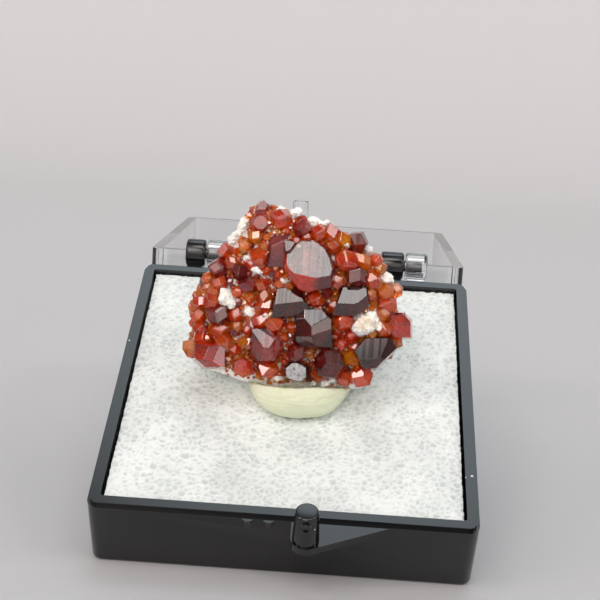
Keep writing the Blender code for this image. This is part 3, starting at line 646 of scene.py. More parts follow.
finish, tree, shader, spot = finish_named("white_matrix", Roughness=0.55, Subsurface_Weight=0.3,
                                          Subsurface_Radius=(0.0009, 0.0007, 0.0005), Subsurface_Scale=1.0)
stain = mottle(tree, spot, 330.0, 5.0, Roughness=0.6)
shades = ramp(tree, stain, ((0.24, (0.78, 0.48, 0.28)), (0.34, (0.95, 0.83, 0.67)),
                            (0.44, (0.98, 0.96, 0.90)), (0.7, (0.99, 0.985, 0.96))))
tree.links.new(shades, shader.inputs["Base Color"])
bumps(tree, shader, mottle(tree, spot, 2400.0, 4.0), 0.09)
rock.data.materials.append(finish)
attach(rock, "base")
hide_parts("matrix_rock")


# The crust: hundreds of small and medium spessartine garnets that grew side by side over the front
# and the edges of the slab. Each is a twelve-sided solid of rhombs, many with kites cut on its edges.
CHANCE = random.Random(7)
GOLDEN, ORANGE, MAROON = 0, 1, 2
CRUST_LIFT = 0.48             # medium garnets stand this far out of the slab
SMALL_WIDTHS = (0.5, 0.6, 0.7, 0.85, 1.0, 1.2, 1.45, 1.7)
FOOT_WIDTH = 0.45             # of those at the foot
SMALL_OUT = 0.22              # share of its width that a small garnet stands out
TRIES = 45000
SPACING = 0.355               # least distance, as a share of two garnets' widths together
GAP_TO_BIG = 0.37             # least distance, as a share of a larger garnet's width
CLEAR_OF_LUMP = 1.25
# Shares of the way to the outline: where the edge begins, where the foot thins out, and the last
EDGE_FROM, FOOT_FROM, FOOT_BARE_FROM, LAST = 0.86, 0.9, 0.955, 0.99
FOOT_UP = -9.5
BARE_FOOT, THIN_FOOT = 0.95, 0.6                # chances that a place there stays bare
SIDE_BEHIND, BOTTOM_BEHIND = 3.4, 0.5           # how far the crust wraps behind the front
BRIGHT_SHARE, UPWARD_SHARE = 0.46, 0.66         # chances of how a garnet is turned
# Medium garnets: right, up, width, colour
MEDIUM = (
    (-2.6, 11.7, 3.0, 1), (0.6, 10.3, 2.2, 2), (3.2, 9.7, 2.3, 1), (5.2, 9.3, 2.4, 1), (7.0, 8.4, 2.2, 0),
    (9.0, 8.1, 2.8, 2), (5.6, 7.6, 1.8, 1), (7.4, 5.4, 3.2, 1), (9.7, 5.2, 2.4, 0), (11.9, 5.5, 1.9, 1),
    (12.4, 4.2, 1.9, 0), (8.9, 3.2, 2.6, 2), (11.3, 2.3, 2.3, 1), (13.3, 0.6, 2.3, 0),
    (15.0, 0.8, 1.8, 0), (13.5, -1.2, 2.4, 1), (12.9, -2.8, 1.9, 0), (13.2, -5.0, 2.0, 1),
    (11.2, -5.8, 1.8, 0), (6.9, -3.9, 2.4, 1), (8.1, -6.2, 1.9, 1), (6.6, -7.3, 1.7, 1),
    (8.1, -9.5, 2.0, 0), (9.6, -12.2, 2.8, 1), (7.0, -12.5, 2.3, 1), (3.0, -11.9, 1.9, 1),
    (-4.6, -11.1, 2.6, 1), (-8.4, -10.8, 2.6, 1), (-9.6, -8.1, 1.8, 1), (-8.3, -7.1, 1.5, 0),
    (-11.3, -6.9, 2.5, 1), (-12.0, -5.2, 2.3, 1), (-14.8, -6.5, 2.0, 1), (-16.1, -7.9, 2.4, 0),
    (-14.8, -4.8, 1.9, 1), (-12.1, -2.8, 2.9, 2), (-15.1, -3.1, 1.9, 1), (-9.5, -3.0, 1.9, 1),
    (-9.3, -4.6, 1.7, 0), (-5.9, -3.8, 2.2, 1), (-3.6, -4.2, 2.6, 1), (-5.2, -1.6, 2.2, 1),
    (-13.0, -0.9, 2.0, 1), (-14.9, -1.0, 1.8, 1), (-12.0, 4.2, 2.5, 2), (-11.9, 1.9, 2.0, 1),
    (-13.8, 2.7, 1.6, 0), (-11.0, 6.8, 2.0, 1), (-10.1, 5.1, 1.9, 1), (-8.1, 7.6, 1.8, 0),
    (-8.7, 3.6, 2.2, 2), (-7.6, 1.7, 2.2, 2), (-5.5, 1.5, 1.8, 1), (-6.0, 6.0, 2.3, 1),
    (-5.1, -0.2, 1.9, 1), (2.6, -0.5, 1.8, 1), (-0.2, -8.6, 2.5, 2), (5.6, -1.6, 1.8, 1),
    (5.9, 2.2, 1.9, 1), (-6.6, 9.0, 1.7, 0))
# Ground taken by the large garnets: right, up, width
TAKEN = (
    (1.6, 4.9, 7.6), (-3.4, 8.0, 4.0), (-3.2, 5.6, 3.8), (-1.5, -0.9, 4.5), (8.6, -0.6, 5.2),
    (2.3, -5.4, 5.4), (-4.8, -7.5, 4.7), (-0.4, -11.7, 3.4), (-13.4, -9.3, 4.6), (11.5, -8.8, 5.4),
    (15.5, -4.7, 3.4), (-5.5, 13.3, 2.9), (-5.7, 11.4, 3.2), (5.0, -10.4, 3.8))
# How far the faces that shine lean to the right and up
BRIGHT_LEANS = ((0.0, 25.3), (-15.7, 27.0), (11.1, 19.1), (-21.7, 16.2), (22.4, 21.9))


def garnet_walls(kites):
    """Directions of a garnet's 12 rhombs at distance 1 and of its 24 kites at their own."""
    fars = {(0, 1, 1): 1.0, (1, 1, 2): kites}
    walls = []
    for way in product(range(-2, 3), repeat=3):
        far = fars.get(tuple(sorted(map(abs, way))))
        if far:
            walls.append((Vector(way).normalized(), far))
    return walls


def solid_within(walls, worn=0.0):
    """The solid that a set of walls encloses, its flat faces whole and its edges a little worn."""
    normals = np.array([n for n, _ in walls])
    fars = np.array([far for _, far in walls])
    corners = []
    for a, b in combinations(range(len(walls)), 2):
        line = np.cross(normals[a], normals[b])
        size = np.dot(line, line)
        along = normals[b + 1:] @ line
        crossing = np.abs(along) > 1e-4
        if size < 1e-6 or not crossing.any():
            continue
        foot = (fars[a] * np.cross(normals[b], line) + fars[b] * np.cross(line, normals[a])) / size
        t = (fars[b + 1:][crossing] - normals[b + 1:][crossing] @ foot) / along[crossing]
        found = foot + t[:, None] * line
        inside = (found @ normals.T <= fars + 1e-4).all(axis=1)
        corners += list(found[inside])
    bm = bmesh.new()
    for corner in corners:
        bm.verts.new(corner)
    bmesh.ops.remove_doubles(bm, verts=bm.verts, dist=0.003)
    hull = bmesh.ops.convex_hull(bm, input=bm.verts)
    loose = [v for v in hull["geom_interior"] if isinstance(v, bmesh.types.BMVert)]
    bmesh.ops.delete(bm, geom=loose, context="VERTS")
    bmesh.ops.dissolve_limit(bm, angle_limit=math.radians(2.0), verts=bm.verts, edges=bm.edges)
    if worn:
        bmesh.ops.bevel(bm, geom=list(bm.edges), offset=worn, segments=1, profile=0.5, affect="EDGES",
                        clamp_overlap=True)
    bmesh.ops.triangulate(bm, faces=bm.faces)
    bmesh.ops.recalc_face_normals(bm, faces=bm.faces)
    return bm


def shape_of(bm):
    """Points and triangles of a shape, which is then thrown away."""
    bm.verts.index_update()
    shape = np.array([v.co for v in bm.verts]), np.array([[v.index for v in f.verts] for f in bm.faces])
    bm.free()
    return shape


PLAIN = [shape_of(solid_within(garnet_walls(kites))) for kites in (1.02, 1.06, 1.11, 1.2)]
WORN = [shape_of(solid_within(garnet_walls(kites), 0.016)) for kites in (1.05, 1.09, 1.13, 1.2, 1.2)]


def joined(shapes, name, place):
    """Many shapes in one mesh, each with the number of its finish."""
    points, triangles, finishes, start = [], [], [], 0
    for some_points, some_triangles, finish in shapes:
        points.append(some_points)
        triangles.append(some_triangles + start)
        finishes += [finish] * len(some_triangles)
        start += len(some_points)
    mesh = bpy.data.meshes.new(name)
    mesh.from_pydata((np.concatenate(points) * MM).tolist(), [], np.concatenate(triangles).tolist())
    mesh.polygons.foreach_set("material_index", finishes)
    return placed_mesh(mesh, name, place)


def grown(shape, width, centre, normal, spin, finish, stretch=(1.0, 1.0, 1.0)):
    """A copy of a crystal at its place, one rhomb facing its normal, turned about it."""
    first = Matrix.Rotation(math.radians(45), 3, "Y")
    turn = Vector(normal).to_track_quat("Z", "Y").to_matrix() @ Matrix.Rotation(spin, 3, "Z") @ first
    matrix = np.array(turn @ Matrix.Diagonal(stretch))
    return shape[0] * (width / 2) @ matrix.T + np.array(centre), shape[1], finish


def tilt(normal, amount):
    """A direction near another, tipped by up to so many degrees."""
    jitter = Vector([CHANCE.uniform(-1, 1) for _ in range(3)]) * math.tan(math.radians(amount))
    return (Vector(normal) + jitter).normalized()


def leaning(right, up):
    """The direction out of the front, leant by so many degrees to the right and up."""
    return (FRONT @ Vector((math.tan(math.radians(right)), math.tan(math.radians(up)), 1.0))).normalized()


def pick_normal(usual):
    """Most crystals grew with a rhomb facing up and forward, where their bright faces point."""
    chance = CHANCE.random()
    if chance < BRIGHT_SHARE:
        right, up = CHANCE.choice(BRIGHT_LEANS)
        return leaning(right + CHANCE.uniform(-2.5, 2.5), up + CHANCE.uniform(-2.5, 2.5))
    if chance < UPWARD_SHARE:
        return leaning(CHANCE.uniform(-16, 16), CHANCE.uniform(18, 42))
    return tilt(usual, 30)


medium_shapes = []
for right, up, width, finish in MEDIUM:
    centre = on_front(right, up, ground(right, up) + CRUST_LIFT + width * 0.07)
    normal = pick_normal(leaning(CHANCE.uniform(-14, 14), CHANCE.uniform(16, 40)))
    stretch = [CHANCE.uniform(0.9, 1.12) for _ in range(3)]
    form = CHANCE.choice(WORN)
    spin = CHANCE.uniform(0, math.pi)
    medium_shapes.append(grown(form, width * 1.06, centre, normal, spin, finish, stretch))

small_shapes = []
placed = [stone[:3] for stone in MEDIUM + TAKEN]
spots = np.zeros((0, 4))
faces = rock.data.polygons
for index in CHANCE.choices(range(len(faces)), weights=[face.area for face in faces], k=TRIES):
    face = faces[index]
    point = Vector(face.center) / MM
    right, up, out = front_coordinates(point)
    behind = ground(right, up) - out
    share, _ = share_out(right, up)
    on_edge = share > EDGE_FROM
    at_foot = up < FOOT_UP and share > FOOT_FROM
    if share > LAST:
        continue
    if at_foot and CHANCE.random() < (BARE_FOOT if share > FOOT_BARE_FROM else THIN_FOOT):
        continue
    if behind > (SIDE_BEHIND if up > FOOT_BELOW else BOTTOM_BEHIND) + CHANCE.uniform(-0.6, 1.0):
        continue
    if any(((right - a) / wide) ** 2 + ((up - b) / long) ** 2 < CLEAR_OF_LUMP
           for a, b, wide, long, *_ in LUMPS):
        continue
    width = FOOT_WIDTH if at_foot else CHANCE.choice(SMALL_WIDTHS) * (0.85 if on_edge else 1.0)
    if behind < 0.9 and any(math.hypot(right - a, up - b) < GAP_TO_BIG * wide for a, b, wide in placed):
        continue
    if (np.linalg.norm(spots[:, :3] - point, axis=1) < SPACING * (width + spots[:, 3])).any():
        continue
    spots = np.vstack((spots, (*point, width)))
    normal = pick_normal(face.normal)
    centre = point + Vector(face.normal) * width * SMALL_OUT
    golden = 0.6 if on_edge or up > 9 or right < -12 else 0.38
    finish = GOLDEN if CHANCE.random() < golden else CHANCE.choice((ORANGE, ORANGE, ORANGE, ORANGE, MAROON))
    form = CHANCE.choice(PLAIN)
    spin = CHANCE.uniform(0, math.pi)
    small_shapes.append(grown(form, width, centre, normal, spin, finish))
crust = joined(medium_shapes + small_shapes, "garnet_crust_crystals", base_place)


def garnet_finish(name, tints, clear, absorbed, rough, lines, line_size=900.0, patches=420.0, lit_side_span=None,
                  face=None, shade_and_glint_spots=()):
    """Garnet of two body colours, in soft patches or, given a lit side span in millimetres along x, graded
    from the first colour where painted light shines through to the second in painted shade; so far
    see-through, that takes up so much red, green and blue light a millimetre, with faint growth lines on its
    faces.
    One face can be given, by the way it points, with the colours of a painted reflection in streaks along its
    growth lines, and small round painted spots, such as a pit's shade or a glint, by place, radius and
    colour."""
    finish, tree, shader, spot = finish_named(name, Transmission_Weight=clear, IOR=1.80, Roughness=rough)
    zones = mottle(tree, spot, patches, 2.0)
    # Painted light: over a span along x the body goes from the first colour, where light shines through, to
    # the second, in painted shade; on a given face this also darkens the streaks towards the shaded side
    if lit_side_span:
        sideways = node(tree, "SeparateXYZ", {"Vector": spot}).outputs["X"]
        zones = between(tree, sideways, lit_side_span[0] * MM, lit_side_span[1] * MM)
    tint = ramp(tree, zones, ((0.38, tints[0]), (0.62, tints[1])))
    stretched = node(tree, "Mapping", {"Vector": spot, "Scale": (1.0, 0.03, 0.05)}).outputs["Vector"]
    # Painted reflection: the face that points the given way gets the colours of the lamp it mirrors, in
    # streaks along its growth lines and in flecks
    if face:
        facing, stops, fleck_size, fleck_share = face
        outward = node(tree, "TexCoord").outputs["Normal"]
        sheen_face_share = between(tree, sums(tree, "DOT_PRODUCT", outward, facing, kind="VectorMath"), 0.975, 0.985)
        streaks = sums(tree, "MULTIPLY", mottle(tree, stretched, line_size * 1.6, 3.0), 1.0 - fleck_share)
        mixed = sums(tree, "MULTIPLY_ADD", mottle(tree, spot, fleck_size, 3.0), fleck_share, streaks)
        shaded = sums(tree, "MULTIPLY_ADD", zones, -0.06, mixed)
        tint = blend_colours(tree, sheen_face_share, tint, ramp(tree, shaded, stops))
    # Painted spots: round patches of a given colour, such as a pit's shade and a glint
    for place, wide, colour in shade_and_glint_spots:
        away = sums(tree, "DISTANCE", spot, place * MM, kind="VectorMath")
        tint = blend_colours(tree, between(tree, away, wide * 1.3 * MM, wide * 0.7 * MM), tint, colour)
    tree.links.new(tint, shader.inputs["Base Color"])
    bumps(tree, shader, mottle(tree, stretched, line_size, 1.0), lines)
    most = max(absorbed)
    share = [1.0 - each / most for each in absorbed]
    filling = node(tree, "VolumeAbsorption", {"Color": (*share, 1.0), "Density": most / MM})
    tree.links.new(filling.outputs["Volume"], tree.nodes["Material Output"].inputs["Volume"])
    return finish


GARNETS = (
    ("golden_garnet", ((1.0, 0.20, 0.006), (1.0, 0.36, 0.02)), 0.70, (0.0, 0.22, 1.1)),
    ("orange_garnet", ((0.86, 0.055, 0.004), (1.0, 0.18, 0.01)), 0.72, (0.0, 0.55, 1.6)),
    ("maroon_garnet", ((0.26, 0.02, 0.015), (0.60, 0.05, 0.03)), 0.78, (0.12, 0.95, 1.1)))
for name, tints, clear, absorbed in GARNETS:
    crust.data.materials.append(garnet_finish(name, tints, clear, absorbed, 0.004, 0.003))
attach(crust, "base")
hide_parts("garnet_crust")


# The large garnets: dark red crystals up to 8 mm wide that outgrew the others, each let into the
# slab. Their front faces lie as in the specimen: a cut outline on a leaning plane, with the
# neighbouring faces falling away from its edges.
BACK_DEPTH = 3.0
STEEP = math.radians(84.0)    # lean of a crystal's sides
WORN_EDGE = 0.05
out_of_front = FRONT @ Vector((0.0, 0.0, 1.0))


def cut_stone(outline, out, lean_right, lean_up, falls):
    """A crystal with one main face of a given outline (right, up). The face leans, and from each
    of its edges another face falls away by so many degrees for so many millimetres, down to a
    steep side."""
    count = len(outline)
    middle = [sum(p[i] for p in outline) / count for i in (0, 1)]
    slope_r, slope_u = -math.tan(math.radians(lean_right)), -math.tan(math.radians(lean_up))
    points = [on_front(r, u, out + slope_r * (r - middle[0]) + slope_u * (u - middle[1]))
              for r, u in outline]
    centre = sum(points, Vector()) / count
    normal = (points[count // 3] - points[0]).cross(points[2 * count // 3] - points[0]).normalized()
    if normal.dot(out_of_front) < 0:
        normal = -normal
    walls = [(normal, normal.dot(centre)), (-out_of_front, -out_of_front.dot(centre) + BACK_DEPTH)]
    for k in range(count):
        start, end = points[k], points[(k + 1) % count]
        angle, wide = falls[k % len(falls)]
        along = (end - start).normalized()
        outward = along.cross(normal)
        if outward.dot((start + end) / 2 - centre) < 0:
            outward = -outward
        fall = math.radians(angle)
        edge = (start + end) / 2
        facing = math.cos(fall) * normal + math.sin(fall) * outward
        walls.append((facing, facing.dot(edge)))
        level = (outward - outward.dot(out_of_front) * out_of_front).normalized()
        facing = math.cos(STEEP) * out_of_front + math.sin(STEEP) * level
        walls.append((facing, facing.dot(edge + wide * (math.cos(fall) * outward - math.sin(fall) * normal))))
    shifted = [(facing, far - facing.dot(centre)) for facing, far in walls]
    points, triangles = shape_of(solid_within(shifted, WORN_EDGE))
    return points + np.array(centre), triangles, 0


def faced_stone(faces, back=-1.0):
    """A crystal between faces given by a point (right, up, out) on each and its slopes, which are
    how much it rises outward for each millimetre to the right and up."""
    middle = Vector([sum(face[i] for face in faces) / len(faces) for i in (0, 1, 2)])
    walls = [(Vector((0.0, 0.0, -1.0)), middle.z - back)]
    for right, up, out, to_right, to_up in faces:
        facing = Vector((-to_right, -to_up, 1.0)).normalized()
        walls.append((facing, facing.dot(Vector((right, up, out)) - middle)))
    points, triangles = shape_of(solid_within(walls, WORN_EDGE))
    return np.array([on_front(*(Vector(p) + middle)) for p in points]), triangles, 0


def whole_stone(right, up, out, width, kites, turns):
    """A crystal of the plain form, turned by three angles in degrees about right, up and out."""
    turn = FRONT.copy()
    for angle, axis in zip(turns[::-1], "ZYX"):
        turn = turn @ Matrix.Rotation(math.radians(angle), 3, axis)
    points, triangles = shape_of(solid_within(garnet_walls(kites), WORN_EDGE / (width / 2)))
    return points * (width / 2) @ np.array(turn).T + np.array(on_front(right, up, out)), triangles, 0


stones = {
    "garnet_crown": [cut_stone(
        ((-1.8, 5.0), (-1.7, 6.4), (-0.9, 7.6), (0.4, 8.4), (1.9, 8.7), (3.1, 8.0), (4.1, 7.2), (4.8, 5.8),
         (5.25, 4.2), (4.9, 3.1), (2.7, 2.75), (-0.7, 3.5), (-1.4, 4.2)), 4.3, 0.0, 27.0,
        ((60, 0.8), (50, 0.6), (40, 1.0), (45, 0.7), (45, 0.7), (50, 0.8), (50, 0.8), (55, 0.8),
         (60, 0.8), (50, 1.9), (54, 2.5), (50, 0.9), (60, 0.8)))],
    "garnet_left_shadow": [faced_stone((
        (-3.2, 6.5, 3.0, 0.05, 0.22), (-3.6, 8.1, 3.1, 0.4, -0.55), (-4.5, 6.5, 2.6, 1.2, 0.0),
        (-4.95, 6.5, 2.0, 6.0, 0.0), (-1.4, 6.5, 2.5, -5.0, 0.0), (-3.2, 9.7, 2.0, 0.0, -5.0),
        (-3.2, 4.3, 2.0, 0.0, 5.0), (-4.4, 9.0, 2.3, 3.0, -3.0))),
        cut_stone(((-2.1, 8.6), (-0.3, 8.3), (-1.2, 7.0), (-1.9, 6.8)), 3.9, -4.0, 27.0,
                  ((60, 0.3), (70, 0.3), (70, 0.3), (60, 0.4)))],
    "garnet_left_middle": [cut_stone(
        ((-3.6, -1.3), (-3.2, 1.1), (-0.8, 1.5), (-0.3, 1.2), (0.9, -0.8), (-1.0, -1.0)), 3.1, -3.0, 24.0,
        ((60, 0.7), (50, 0.5), (50, 0.5), (50, 0.8), (45, 2.2), (48, 2.2)))],
    "garnet_right_middle": [cut_stone(
        ((6.0, -1.1), (6.9, 1.3), (8.6, 1.4), (10.4, 1.2), (10.5, 0.1), (9.3, -0.9), (8.6, -1.2)),
        3.0, 3.0, 25.0,
        ((60, 0.6), (40, 0.7), (45, 0.7), (60, 0.7), (45, 1.6), (48, 1.8), (50, 2.0)))],
    "garnet_centre_low": [faced_stone((
        (2.05, -4.6, 4.2, 0.5, 0.0), (2.05, -4.6, 4.2, -0.35, -0.04), (2.05, -4.6, 4.2, -0.09, -0.5),
        (1.0, -3.9, 3.94, 0.55, -0.5), (2.15, -6.15, 4.16, -0.506, 0.45), (1.0, -6.2, 3.67, 0.5, 0.9),
        (-0.4, -5.0, 2.5, 6.0, 0.0), (5.2, -5.0, 2.5, -6.0, 0.0), (2.0, -1.9, 2.2, 0.0, -6.0),
        (2.0, -7.9, 2.0, 0.0, 6.0), (4.3, -2.6, 2.6, -2.0, -2.0), (0.2, -7.2, 2.4, 2.0, 3.0)))],
    "garnet_left_low": [faced_stone((
        (-5.0, -7.2, 3.5, -0.02, -0.42), (-5.4, -5.9, 3.15, -0.25, -0.75), (-6.2, -7.5, 3.2, 0.65, 0.05),
        (-5.2, -8.7, 3.2, 0.08, 0.72), (-3.4, -7.8, 2.9, -0.95, 0.15), (-7.1, -7.3, 2.2, 6.0, 0.0),
        (-2.6, -8.0, 2.0, -6.0, 0.0), (-5.4, -4.9, 2.2, 0.0, -6.0), (-5.0, -9.9, 2.0, 0.0, 6.0),
        (-3.5, -6.0, 2.6, -3.5, -3.5), (-6.6, -9.3, 2.4, 3.5, 3.5), (-3.4, -9.3, 2.4, -3.5, 3.5)))],
    "garnet_hexagon_low": [cut_stone(
        ((-1.9, -11.0), (-0.9, -10.2), (0.0, -10.2), (1.2, -10.9), (1.2, -12.4), (0.5, -13.0), (-0.6, -12.9),
         (-1.8, -12.4)), 2.6, 2.0, 22.0,
        ((45, 0.5), (45, 0.6), (50, 0.7), (62, 1.3), (78, 0.3), (80, 0.2), (80, 0.2), (70, 0.3)))],
    "garnet_left_tip": [faced_stone((
        (-13.95, -8.6, 2.4, 0.28, -0.61), (-13.95, -8.6, 2.4, -0.18, -0.41),
        (-12.75, -9.2, 2.43, -0.64, -0.21),
        (-13.6, -10.2, 2.5, 0.1, 0.9), (-13.5, -7.7, 2.0, 0.0, -1.6), (-15.8, -8.6, 1.0, 14.0, 0.0),
        (-11.1, -9.2, 1.0, -14.0, 0.0), (-13.4, -7.3, 1.0, 0.0, -9.0), (-13.4, -10.9, 1.0, 0.0, 14.0),
        (-15.2, -10.0, 1.6, 6.0, 7.5)), back=-2.5)],
    "garnet_right_low": [faced_stone((
        (11.0, -8.2, 2.4, -0.03, -0.375), (11.3, -9.6, 2.82, -0.1, 0.45), (13.2, -8.2, 2.3, -0.7, -0.1),
        (9.4, -7.4, 1.7, 6.0, -6.0), (8.95, -9.2, 1.7, 9.0, 4.0), (11.3, -11.1, 1.4, 0.0, 12.0),
        (13.5, -9.5, 1.4, -10.0, 10.0), (12.0, -6.4, 1.4, 0.0, -8.0),
        (14.5, -7.0, 1.0, -9.0, -6.0)), back=-2.0)],
    "garnet_right_tip": [faced_stone((
        (16.0, -4.7, 1.5, -0.25, 0.15), (16.0, -3.7, 1.45, -0.15, -0.85), (14.8, -4.7, 1.5, 0.8, 0.1),
        (17.25, -5.0, 0.2, -12.0, 0.0), (13.7, -4.7, 0.2, 8.0, 0.0), (15.7, -2.8, 0.2, 0.0, -9.0),
        (15.7, -6.4, 0.2, 0.0, 12.0), (17.0, -3.6, 0.4, -7.0, -7.0),
        (14.6, -6.2, 0.6, 7.0, 7.0)), back=-2.2)],
    "garnet_top_pair": [
        cut_stone(((-6.3, 13.2), (-6.1, 14.0), (-5.4, 14.5), (-4.5, 14.0), (-5.0, 13.2)), 2.6, 0.0, 28.0,
                  ((60, 0.5), (60, 0.5), (55, 0.4), (60, 0.5), (50, 0.9))),
        cut_stone([(-5.7 + 1.1 * math.cos(turn), 11.2 + 1.1 * math.sin(turn))
                   for turn in (k * math.pi / 4 + 0.3 for k in range(8))],
                  3.2, -2.0, 3.0, ((55, 0.5), (50, 0.6)))],
    "garnet_red_block": [whole_stone(4.9, -10.4, 0.6, 4.3, 1.2, (25, 35, 40))],
}
# Painted reflections for single faces: grey on the crown, pale on the hexagon, a pinkish sheen on the small
# face by the left shadow
GREY_REFLECTION_FACE = ((0.36, (0.06, 0.06, 0.07)), (0.46, (0.19, 0.165, 0.17)), (0.54, (0.33, 0.23, 0.21)),
             (0.62, (0.54, 0.38, 0.33)))
PALE_REFLECTION_FACE = ((0.36, (0.02, 0.015, 0.02)), (0.41, (0.34, 0.33, 0.34)), (0.47, (0.60, 0.59, 0.60)),
             (0.60, (0.74, 0.73, 0.73)))
SHEEN_FACE = ((0.36, (0.30, 0.25, 0.25)), (0.46, (0.55, 0.50, 0.49)), (0.60, (0.80, 0.74, 0.72)))
# Painted on the crown's face: a near-black spot as the shade of a small pit, and a cream spot as a glint
PIT_SHADE = (on_front(3.2, 5.9, 4.2), 0.2, (0.01, 0.008, 0.01))
GLINT = (on_front(0.1, 7.6, 3.35), 0.34, (1.0, 0.88, 0.62))
LINES = 1500.0                # size of the growth lines' noise
red_garnet = garnet_finish("red_garnet", ((0.70, 0.07, 0.04), (1.0, 0.20, 0.09)), 0.88,
                           (0.05, 1.1, 1.4), 0.006, 0.008, LINES, 250.0)
large_garnet = garnet_finish("large_garnet", ((0.38, 0.07, 0.06), (0.95, 0.14, 0.08)), 0.95,
                             (0.11, 0.75, 0.85), 0.008, 0.06, LINES, 190.0)
dark_garnet = garnet_finish("dark_garnet", ((0.14, 0.05, 0.045), (0.46, 0.09, 0.07)), 0.93,
                            (0.24, 0.80, 0.85), 0.012, 0.02, LINES, 260.0)
# The crown: painted light makes its body bright red on the left and painted shade dark on the right; its
# front face carries a painted grey reflection, a painted pit shade and a painted glint
crown_garnet = garnet_finish("crown_garnet", ((0.95, 0.075, 0.018), (0.20, 0.03, 0.03)), 0.74,
                             (0.04, 0.80, 0.9), 0.01, 0.03, LINES, 170.0, lit_side_span=(0.2, 4.4),
                             face=(leaning(0.0, 27.0), GREY_REFLECTION_FACE, 800.0, 0.3), shade_and_glint_spots=(PIT_SHADE, GLINT))
# The hexagon: a dark body, its leaning face painted pale as a reflection
pale_garnet = garnet_finish("pale_garnet", ((0.06, 0.02, 0.02), (0.20, 0.05, 0.04)), 0.72,
                            (0.35, 0.9, 0.9), 0.01, 0.03, LINES, 190.0,
                            face=(leaning(2.0, 22.0), PALE_REFLECTION_FACE, 1900.0, 0.6))
# The small leaning face by the left shadow is painted a pinkish sheen, a painted reflection
shadow_garnet = garnet_finish("shadow_garnet", ((0.16, 0.05, 0.055), (0.50, 0.09, 0.09)), 0.74,
                              (0.20, 0.80, 0.8), 0.012, 0.02, LINES, 230.0,
                              face=(leaning(-4.0, 27.0), SHEEN_FACE, 1500.0, 0.5))
FINISHES = {
    "garnet_crown": crown_garnet, "garnet_hexagon_low": pale_garnet, "garnet_left_shadow": shadow_garnet,
    "garnet_right_tip": red_garnet, "garnet_top_pair": red_garnet, "garnet_left_tip": red_garnet,
    "garnet_left_middle": dark_garnet, "garnet_right_middle": dark_garnet,
    "garnet_centre_low": dark_garnet, "garnet_right_low": dark_garnet}
for name, shapes in stones.items():
    stone = joined(shapes, name + "_crystal", base_place)
    finish = FINISHES.get(name, large_garnet)
    stone.data.materials.append(finish)
    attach(stone, "base")
    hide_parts(name)


# The floor: a sheet of pale matt card, laid under the box and bent up in a wide curve behind it, so
# that it shows no edge. It belongs to the studio and not to the object.
SWEEP_WIDE = 16.0
SWEEP_FRONT = -8.0
SWEEP_BEND = 0.55
SWEEP_R = 0.5
SWEEP_HIGH = 1.8
SWEEP_BELOW = 0.00005         # clear of the part's lowest faces
CARD_STEPS = 24
profile = [(SWEEP_FRONT, 0.0), (SWEEP_BEND, 0.0)]
profile += [(SWEEP_BEND + SWEEP_R * math.sin(a), SWEEP_R * (1 - math.cos(a)))
            for a in (math.pi / 2 * k / CARD_STEPS for k in range(1, CARD_STEPS + 1))]
profile += [(SWEEP_BEND + SWEEP_R, SWEEP_HIGH)]
mesh = bpy.data.meshes.new("card")
points = [(side * SWEEP_WIDE / 2, y, z - SWEEP_BELOW) for y, z in profile for side in (-1, 1)]
mesh.from_pydata(points, [], [(2 * k, 2 * k + 1, 2 * k + 3, 2 * k + 2) for k in range(len(profile) - 1)])
mesh.shade_smooth()
card = placed_mesh(mesh, "card", Matrix.Identity(4))
finish, *_ = finish_named("pale_card", Base_Color=(0.54, 0.55, 0.57, 1.0), Roughness=0.7)
card.data.materials.append(finish)


# The light: a dim room, darker in front, with soft lamps at the places that the crystals' faces
# mirror. The broad ones show the flat faces grey, and the small bright ones give the glints.
world = bpy.data.worlds.new("studio")
bpy.context.scene.world = world
world.use_nodes = True
tree = world.node_tree
toward = node(tree, "TexCoord").outputs["Generated"]
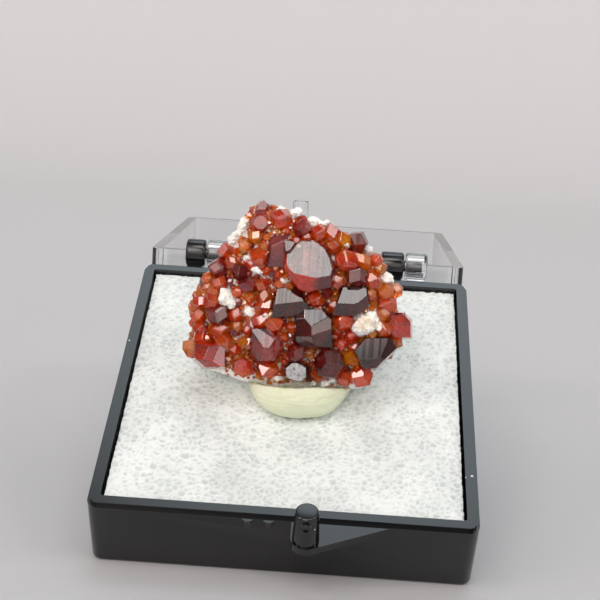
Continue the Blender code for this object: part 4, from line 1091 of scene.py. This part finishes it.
# The way to each lamp, half its spread in degrees, the blur of its edge, its colour
SOFT_LIGHTS = (
    ((0.0, -0.50, 0.866), 9.0, 4.0, (4.0, 3.85, 3.8)),
    ((-0.25, -0.55, 0.80), 14.0, 9.0, (1.3, 1.1, 1.0)),
    ((0.22, -0.38, 0.90), 14.0, 9.0, (0.9, 1.05, 1.1)),
    ((-0.42, -0.36, 0.83), 4.5, 2.0, (12.0, 10.4, 9.6)),
    ((0.34, -0.62, 0.71), 4.5, 2.0, (12.0, 10.6, 10.0)),
    ((-0.64, -0.52, 0.56), 4.5, 2.0, (12.0, 10.4, 9.6)),
    ((0.62, -0.40, 0.68), 4.5, 2.0, (11.0, 10.0, 9.4)),
    ((-0.10, -0.97, 0.20), 20.0, 10.0, (2.2, 2.1, 2.0)),
    ((0.03, 0.37, 0.93), 13.0, 7.0, (2.1, 2.45, 2.65)),
    ((-0.22, -0.82, 0.53), 13.0, 6.0, (4.2, 3.8, 3.45)),
    ((-0.83, -0.47, 0.30), 12.0, 6.0, (3.4, 3.0, 2.85)),
    ((0.62, -0.75, 0.24), 9.0, 6.0, (3.0, 2.6, 2.45)),
    ((0.86, -0.22, 0.46), 11.0, 5.0, (3.0, 3.0, 3.0)))
ROOM_DARK, ROOM_LIGHT = 0.11, 0.42
depth = node(tree, "SeparateXYZ", {"Vector": toward}).outputs["Y"]
room = node(tree, "MapRange", {"Value": depth, "From Min": -0.6, "From Max": 0.2, "To Min": ROOM_DARK,
                               "To Max": ROOM_LIGHT}).outputs["Result"]
total = node(tree, "CombineXYZ", {"X": room, "Y": room, "Z": room}).outputs["Vector"]
for way, spread, blur, colour in SOFT_LIGHTS:
    facing = sums(tree, "DOT_PRODUCT", toward, Vector(way).normalized(), kind="VectorMath")
    lit = between(tree, facing, math.cos(math.radians(spread + blur)), math.cos(math.radians(spread - blur)),
                  interpolation_type="SMOOTHSTEP")
    glow = node(tree, "VectorMath", {0: colour, "Scale": lit}, operation="SCALE").outputs["Vector"]
    total = node(tree, "VectorMath", {0: total, 1: glow}, operation="ADD").outputs["Vector"]
tree.links.new(total, tree.nodes["Background"].inputs["Color"])
tree.nodes["Background"].inputs["Strength"].default_value = 0.78
bpy.context.scene.view_settings.view_transform = "Standard"


# The camera: it looks down on the front of the specimen from the eye's place, through a long lens,
# so that the whole box stays in the picture.
camera = bpy.data.objects.new("camera", bpy.data.cameras.new("camera"))
bpy.context.scene.collection.objects.link(camera)
camera.matrix_world = base_place @ Matrix.Translation(EYE * MM) @ FRONT.to_4x4()
camera.data.sensor_width = 36.0
camera.data.lens = 78.05
camera.data.clip_start = 0.01
camera.data.clip_end = 20.0
bpy.context.scene.camera = camera
